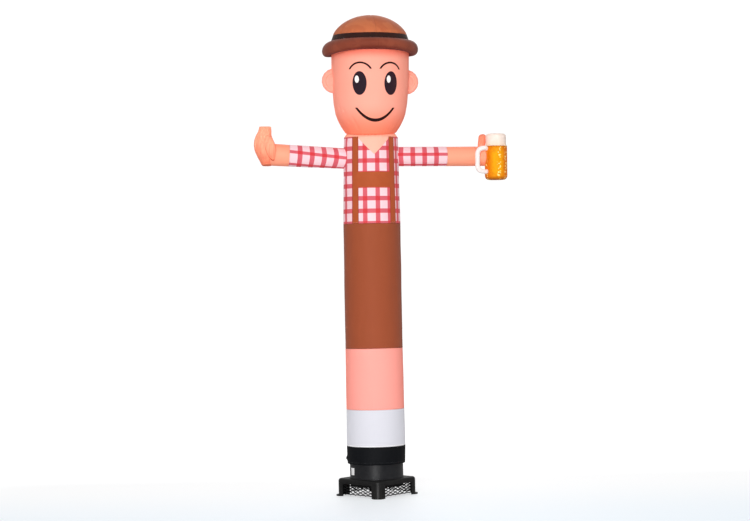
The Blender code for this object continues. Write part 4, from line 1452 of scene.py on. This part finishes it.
def sleeve_paint(name, radius, phase, twist, offset, end):
    """The sleeve's check, whose lengthwise stripes turn round the arm by twist a metre."""

    def paint(wire):
        _, _, along, angle = rest_place(wire)
        arc = (angle - (along - TUBE_RADIUS) * twist) * radius
        around = stripe(arc, math.tau * radius / SLEEVE_ROUND, SLEEVE_STRIPE, phase * radius)
        across = stripe(along, SLEEVE_PITCH, SLEEVE_WIDTH, offset) * along.below(end, PRINT_BLUR)
        return woven(wire, check_print(wire, around, across), radius)

    return painted_glow_cloth(name, paint, CHECK_PAINTED_GLOW)


def paint_arm(wire):
    return woven(wire, skin_tone(wire, ARM_SKIN), LEFT_RADII[1])


arm_paint = skin_cloth("arm_polyester", paint_arm)
arms = (
    ("left", -1, LEFT_HEIGHT, LEFT_RISE, LEFT_RADII, LEFT_CUFF, LEFT_WRIST, (1.5, 37.0, 0.344)),
    ("right", 1, RIGHT_HEIGHT, 0.0, RIGHT_RADII, RIGHT_CUFF, RIGHT_WRIST, (-10.5, 0.0, 0.275)),
)
for name, side, height, rise, radii, cuff, wrist, (phase, twist, first_stripe) in arms:
    place = arm_frame(side, height, rise)
    girth = math.tau * radii[1]
    tube = {"radius": radii[1], "around": ARM_AROUND, "pitch": ARM_PITCH, "place": place}
    sleeve, forearm = f"sleeve_{name}", f"forearm_{name}"
    check = sleeve_paint(
        f"{sleeve}_check", radii[0], math.radians(phase), math.radians(twist), first_stripe,
        cuff - SLEEVE_WIDTH / 2,
    )
    panel(
        sleeve, arm_rows(radii, cuff, SLEEVE_START, cuff), check, "check_cloth", sleeve,
        thread=CHECK_THREAD, rings=(cuff - STITCH_EDGE, cuff - 2 * STITCH_EDGE),
        reshape=lambda mesh: fit_shoulder(mesh, place, cuff), flat=(girth, cuff - SHOULDER_RADIUS),
        Puckers=16.0, Lower_Depth=0.004, Upper_Depth=0.002, Reach=0.03, Slack=0.002,
        Seed=30.0 + side, **tube,
    )
    panel(
        forearm, arm_rows(radii, cuff, cuff, wrist), arm_paint, "skin_cloth", forearm,
        thread=ARM_THREAD, rings=(cuff + STITCH_EDGE, wrist - STITCH_EDGE),
        flat=(girth, wrist - cuff),
        Puckers=14.0, Lower_Depth=0.002, Upper_Depth=0.003, Reach=0.03, Slack=0.002,
        Seed=40.0 + side, **tube,
    )


# ---- Thumbs-up hand ------------------------------------------------------------------
# A mitten of two halves, closed at the bottom and open at the end of the thumb, where
# the air leaves. Its folds run upwards, and a painted crease shadow goes round the fingers.

HAND_SECTIONS = (
    (3.099, -0.985, 0.034, 0.038), (3.109, -0.985, 0.048, 0.060), (3.142, -0.986, 0.062, 0.090),
    (3.183, -0.990, 0.079, 0.107), (3.239, -0.999, 0.095, 0.108), (3.286, -1.004, 0.099, 0.098),
    (3.320, -1.008, 0.094, 0.085), (3.351, -1.012, 0.084, 0.072), (3.388, -1.010, 0.070, 0.060),
    (3.425, -1.000, 0.060, 0.053), (3.467, -0.996, 0.053, 0.048),
)
HAND_ROUND = 128
HAND_ROWS_EACH = 8
FINGERS = (-0.955, 3.262)
FINGERS_SIZE = (0.050, 0.118)
FINGERS_LEAN = 0.2
FINGERS_FRONT = 0.103
FINGERS_ROOT = 3.29
FINGERS_SLOPE = 0.38
FINGERS_DEPTH = 0.014
FINGERS_LINE = 0.91
HAND_HEIGHT = 0.36
HAND_FLAT = (math.tau * 0.08, 0.40)
HAND_SEAM_TOP = 3.112
FOLD_DEPTH = 0.0026
TOP_FOLD_DEPTH = 0.0022
HAND_SKIN = srgb(254, 166, 134)
# Painted shade low on the hand, painted highlights on its folds, painted shadow in the finger crease.
HAND_LOW_SHADE = srgb(250, 130, 100)
HAND_FOLD_HIGHLIGHT = srgb(255, 206, 166)
HAND_CREASE_SHADOW = srgb(196, 92, 60)
HAND_SEAM = srgb(176, 96, 66)


def between(before, start, end, after, share):
    """Smooth blend from start to end that also heeds their neighbours."""
    return 0.5 * (
        2 * start
        + (end - before) * share
        + (2 * before - 5 * start + 4 * end - after) * share**2
        + (3 * start - before - 3 * end + after) * share**3
    )


def smooth_rows(rows, each):
    """The table's rows with more of them between, blended smoothly."""
    padded = [rows[0], *rows, rows[-1]]
    finer = []
    for i in range(len(rows) - 1):
        for step in range(each):
            group = zip(*padded[i : i + 4])
            finer.append([between(*values, step / each) for values in group])
    return [*finer, list(rows[-1])]


def finger_front(x, z):
    """How far the folded fingers stand in front of the hand's middle, 0 beyond their edge."""
    up = z - FINGERS[1]
    across = (x - FINGERS[0] + FINGERS_LEAN * up) / FINGERS_SIZE[0]
    share = math.hypot(across, up / FINGERS_SIZE[1])
    front = FINGERS_FRONT - FINGERS_SLOPE * max(0, z - FINGERS_ROOT)
    if share > 1:
        return front * max(0, 1 - (share - 1) / 0.1)
    return front + FINGERS_DEPTH * math.sqrt(1 - share**2)


def hand_surface():
    """Loft through the hand's oval sections, open at the top, with upright folds."""
    rings = []
    for height, centre, width, depth in smooth_rows(HAND_SECTIONS, HAND_ROWS_EACH):
        ring = []
        rise = (height - HAND_SECTIONS[0][0]) / HAND_HEIGHT
        for i in range(HAND_ROUND):
            a = math.tau * i / HAND_ROUND
            crinkle = FOLD_DEPTH * math.sin(9 * a + 3 * rise) * math.sin(math.pi * min(1, rise))
            crinkle += TOP_FOLD_DEPTH * math.sin(17 * a - 4 * rise) * rise**2
            x = centre + (width + crinkle) * math.cos(a)
            y = (depth + crinkle) * math.sin(a)
            if y < 0:
                y = min(y, -finger_front(x, height))
            ring.append((x, y, height))
        rings.append(ring)
    loft = bmesh.new()
    made = [[loft.verts.new(point) for point in ring] for ring in rings]
    loft.faces.new(reversed(made[0]))
    for lower, upper in zip(made, made[1:]):
        for i in range(HAND_ROUND):
            after = (i + 1) % HAND_ROUND
            loft.faces.new((lower[i], lower[after], upper[after], upper[i]))
    return keep_rest(as_mesh(loft, "hand"))


def paint_hand(wire):
    """Skin, with painted shade low down, painted highlights on folds, painted shadow round the fingers.
    """
    x, y, z, _ = rest_place(wire)
    # Painted shade: the skin deepens towards the bottom of the hand.
    low = z.below(3.23, 0.10)
    tone = (low * 0.85).mix(skin_tone(wire, HAND_SKIN), HAND_LOW_SHADE)
    # Painted highlights: pale streaks along the upright folds.
    fold_highlights = wire.noise(1.0, 1.0, 70.0, wire.join(x * 75, y * 75, z * 5)).below(0.46, 0.05)
    tone = ((1 - fold_highlights) * 0.30 * (1 - low * 0.6)).mix(tone, HAND_FOLD_HIGHLIGHT)
    up = z - FINGERS[1]
    leant = x + up * FINGERS_LEAN
    # Painted shadow: a dark line in the crease round the folded fingers.
    outer = oval(leant, up, (FINGERS[0], 0.0), FINGERS_SIZE, 0.04)
    inner = oval(leant, up, (FINGERS[0], 0.0), [FINGERS_LINE * size for size in FINGERS_SIZE], 0.04)
    back = leant.below(FINGERS[0], 0.01) * (1 - up.below(0.01, 0.02))
    edge = (outer - inner) * y.below(-0.01, 0.005) * (1 - back) * up.below(0.07, 0.04)
    tone = (edge * 0.75).mix(tone, HAND_CREASE_SHADOW)
    seam = z.below(HAND_SEAM_TOP, 0.003)
    return woven(wire, (seam * 0.8).mix(tone, HAND_SEAM), LEFT_RADII[1])


sew(
    "thumb_hand_cloth", hand_surface(), skin_cloth("hand_polyester", paint_hand), "skin_cloth",
    "thumb_hand", HAND_FLAT,
)


# ---- Mug hand ------------------------------------------------------------------------
# The other hand is a short palm that ends against the mug, with an upright thumb sewn
# on. Both are blown up from the forearm.

THUMB_X = 1.062
THUMB_RADIUS = 0.036
THUMB_TOP = 3.394
THUMB_CORNER = 0.030
THUMB_LEAN = 0.13
THUMB_ROOT = 3.232
THUMB_RED = srgb(240, 140, 110)
PALM_FLAT = (math.tau * RIGHT_RADII[1], 0.27)
PALM_END = 1.196
PALM_CORNER = 0.055
MUG_X = 1.195
MUG_Y = -0.055
MUG_RADIUS = 0.107


def capsule_rows(radius, bottom, top, corner):
    """Outline of a tube with a rounded closed top."""
    rows = [(radius, bottom), (radius, top - corner)]
    for i in range(1, 9):
        a = math.pi / 2 * i / 8
        rows.append((radius - corner + corner * math.cos(a), top - corner + corner * math.sin(a)))
    return [*rows, (0.00001, top)]


palm_radius = arm_radius(RIGHT_RADII, RIGHT_CUFF, PALM_END)
palm = turn_cloth(
    capsule_rows(palm_radius, RIGHT_WRIST, PALM_END, PALM_CORNER), around=ARM_AROUND, pitch=0.008,
    Puckers=14.0, Lower_Depth=0.003, Upper_Depth=0.0, Reach=0.03, Slack=0.002, Seed=50.0,
)
palm.transform(arm_frame(1, RIGHT_HEIGHT, 0.0))
thumb = turn_cloth(
    capsule_rows(THUMB_RADIUS, THUMB_ROOT, THUMB_TOP, THUMB_CORNER), around=40, pitch=0.006,
    Puckers=9.0, Lower_Depth=0.002, Upper_Depth=0.0, Reach=0.03, Slack=0.0015, Seed=51.0,
)
for vertex in thumb.vertices:
    lean = max(0, vertex.co.z - THUMB_ROOT) * THUMB_LEAN
    vertex.co += Vector((THUMB_X + lean, lean, 0))
joined = bmesh.new()
joined.from_mesh(palm)
joined.from_mesh(thumb)


def paint_grip(wire):
    """The arm's skin, redder on the thumb."""
    _, _, z, _ = rest_place(wire)
    thumb_only = 1 - z.below(THUMB_ROOT + 0.06, 0.02)
    return woven(wire, (thumb_only * 0.7).mix(skin_tone(wire, ARM_SKIN), THUMB_RED), RIGHT_RADII[1])


sew(
    "mug_hand_cloth", as_mesh(joined, "mug_hand"), skin_cloth("grip_polyester", paint_grip),
    "skin_cloth", "mug_hand", PALM_FLAT,
)


# ---- Mug -----------------------------------------------------------------------------
# An amber cylinder with a printed pattern of rising bubbles, a pale cap of foam sewn to
# its rim, and a white roll for the handle, sewn on at both ends.

MUG_BOTTOM = 2.953
MUG_RIM = 3.276
MUG_CORNER = 0.040
FOAM_RADIUS = 0.096
FOAM_SHOULDER = 0.007
FOAM_TOP = 3.394
FOAM_CORNER = 0.028
HANDLE_X = 1.001
HANDLE_Y = -0.128
HANDLE_TOP = 3.250
HANDLE_BOTTOM = 3.035
HANDLE_RADIUS = 0.023
HANDLE_ARM = (
    (0.100, 0.044, 0.000), (0.070, 0.014, 0.005), (0.022, 0.000, -0.006), (0.000, 0.000, -0.042),
)
PRINT_REPEATS = 3
GLOW_WIDTH = 0.115
GLOW_OFFSET = -0.012
BUBBLE_COLUMNS = (0.006, 0.086)
BUBBLE_COLUMN_WIDTH = 0.036
BUBBLES = ((34.0, 0.22, 0.75), (21.0, 0.19, 0.95))
AMBER_DEEP = srgb(224, 121, 2)
AMBER_BRIGHT = srgb(238, 166, 0)
AMBER_MOTTLE = srgb(200, 100, 4)
AMBER_HEM = srgb(150, 82, 6)
BUBBLE_PALE = srgb(255, 238, 150)
FOAM_WHITE = srgb(255, 240, 231)
FOAM_LUMP = srgb(250, 218, 192)
FOAM_EDGE = srgb(250, 216, 176)
HANDLE_WHITE = srgb(250, 244, 242)
HANDLE_SHADE = srgb(246, 226, 220)
# Tints of the painted glow that the foam, the handle and the mug give off.
FOAM_PAINTED_GLOW = (0.10, 0.09, 0.09, 1.0)
AMBER_PAINTED_GLOW = (0.18, 0.13, 0.01, 1.0)


def paint_mug(wire):
    """Amber with a light middle, brown towards its hems, and pale bubbles of two sizes."""
    _, _, z, angle = rest_place(wire)
    arc = angle * MUG_RADIUS
    flat = wire.join(arc, z, 0.0)
    height = (z - MUG_BOTTOM) / (MUG_RIM - MUG_BOTTOM)
    repeat = math.tau * MUG_RADIUS / PRINT_REPEATS
    glow = stripe(arc, repeat, GLOW_WIDTH, GLOW_OFFSET, 0.035) * abs(height - 0.52).below(0.42, 0.20)
    colour = glow.mix(AMBER_DEEP, AMBER_BRIGHT)
    mottle = wire.noise(38, 3.0, 61.0, flat).below(0.45, 0.09)
    colour = (mottle * 0.5 * (1 - glow * 0.6)).mix(colour, AMBER_MOTTLE)
    hems = height.below(0.06, 0.06) + (1 - height).below(0.02, 0.02)
    colour = (hems * 0.7).mix(colour, AMBER_HEM)
    middle, side = (stripe(arc, repeat, BUBBLE_COLUMN_WIDTH, at, 0.006) for at in BUBBLE_COLUMNS)
    column = middle + side
    for scale, size, strength in BUBBLES:
        grain = {"Vector": flat, "Scale": scale, "Randomness": 1.0}
        spots = wire.make("ShaderNodeTexVoronoi", {"voronoi_dimensions": "2D"}, grain)
        colour = (spots.below(size, 0.05) * column * strength).mix(colour, BUBBLE_PALE)
    return woven(wire, colour, MUG_RADIUS)


def paint_foam(wire):
    """Off-white in soft lumps, creamier along the seam with the mug."""
    lower, _, _ = kept(wire, "seams")
    colour = (wire.noise(34, 2.0, seed=64.0) * 0.5).mix(FOAM_WHITE, FOAM_LUMP)
    return woven(wire, (lower.below(0.03, 0.03) * 0.5).mix(colour, FOAM_EDGE), FOAM_RADIUS)


def paint_handle(wire):
    return woven(wire, (wire.noise(20, 2.0) * 0.3).mix(HANDLE_WHITE, HANDLE_SHADE), 0.1)


def corner_up(radius, bottom, corner):
    """From the axis out and up round a closed bottom's corner."""
    rows = [(0.00001, bottom)]
    for i in range(7):
        a = math.pi / 2 * i / 6
        rows.append((radius - corner + corner * math.sin(a), bottom + corner * (1 - math.cos(a))))
    return rows


MUG_ROWS = [*corner_up(MUG_RADIUS, MUG_BOTTOM, MUG_CORNER), (MUG_RADIUS, MUG_RIM)]
foam_cap = capsule_rows(FOAM_RADIUS, MUG_RIM + FOAM_SHOULDER, FOAM_TOP, FOAM_CORNER)
FOAM_ROWS = [(MUG_RADIUS, MUG_RIM), *foam_cap]
small = {"around": 96, "pitch": 0.007, "place": Matrix.Translation((MUG_X, MUG_Y, 0))}
panel(
    "mug", MUG_ROWS, painted_glow_cloth("amber_polyester", paint_mug, AMBER_PAINTED_GLOW), "mug_cloth", "mug",
    thread=srgb(196, 108, 8), rings=(MUG_RIM - STITCH_EDGE,), area=area_of(MUG_ROWS),
    Puckers=20.0, Lower_Depth=0.0, Upper_Depth=0.003, Reach=0.02, Slack=0.0015, Seed=60.0, **small,
)
panel(
    "foam", FOAM_ROWS, painted_glow_cloth("foam_polyester", paint_foam, FOAM_PAINTED_GLOW), "foam_cloth", "mug_foam",
    thread=srgb(238, 216, 200), rings=(MUG_RIM + FOAM_SHOULDER + STITCH_EDGE,), radius=FOAM_RADIUS,
    flat=(math.tau * MUG_RADIUS, length_of(FOAM_ROWS)), area=area_of(FOAM_ROWS),
    Puckers=18.0, Lower_Depth=0.003, Upper_Depth=0.0, Reach=0.02, Slack=0.004, Seed=62.0, **small,
)

upper = [(HANDLE_X + x, HANDLE_Y + y, HANDLE_TOP + z) for x, y, z in HANDLE_ARM]
lower = [(HANDLE_X + x, HANDLE_Y + y, HANDLE_BOTTOM - z) for x, y, z in reversed(HANDLE_ARM)]
middle = (HANDLE_X, HANDLE_Y, (HANDLE_TOP + HANDLE_BOTTOM) / 2)
roll = straight_curve("handle", smooth_rows([*upper, middle, *lower], 6))
roll.bevel_depth = HANDLE_RADIUS
roll.bevel_resolution = 6
roll.use_fill_caps = True
for number, point in enumerate(roll.splines[0].points):
    point.radius = 1 - 0.05 * (0.5 + 0.5 * math.sin(number * 1.9))
roll_holder = show("handle", roll)
welded = bmesh.new()
welded.from_mesh(plain_mesh(roll_holder))
bpy.data.objects.remove(roll_holder)
bmesh.ops.remove_doubles(welded, verts=welded.verts, dist=0.00005)
handle = show("handle_cloth", keep_rest(as_mesh(welded, "handle")))
bow_and_paint(handle, painted_glow_cloth("handle_polyester", paint_handle, FOAM_PAINTED_GLOW))
stand_for(handle, "white_cloth", "mug_handle")
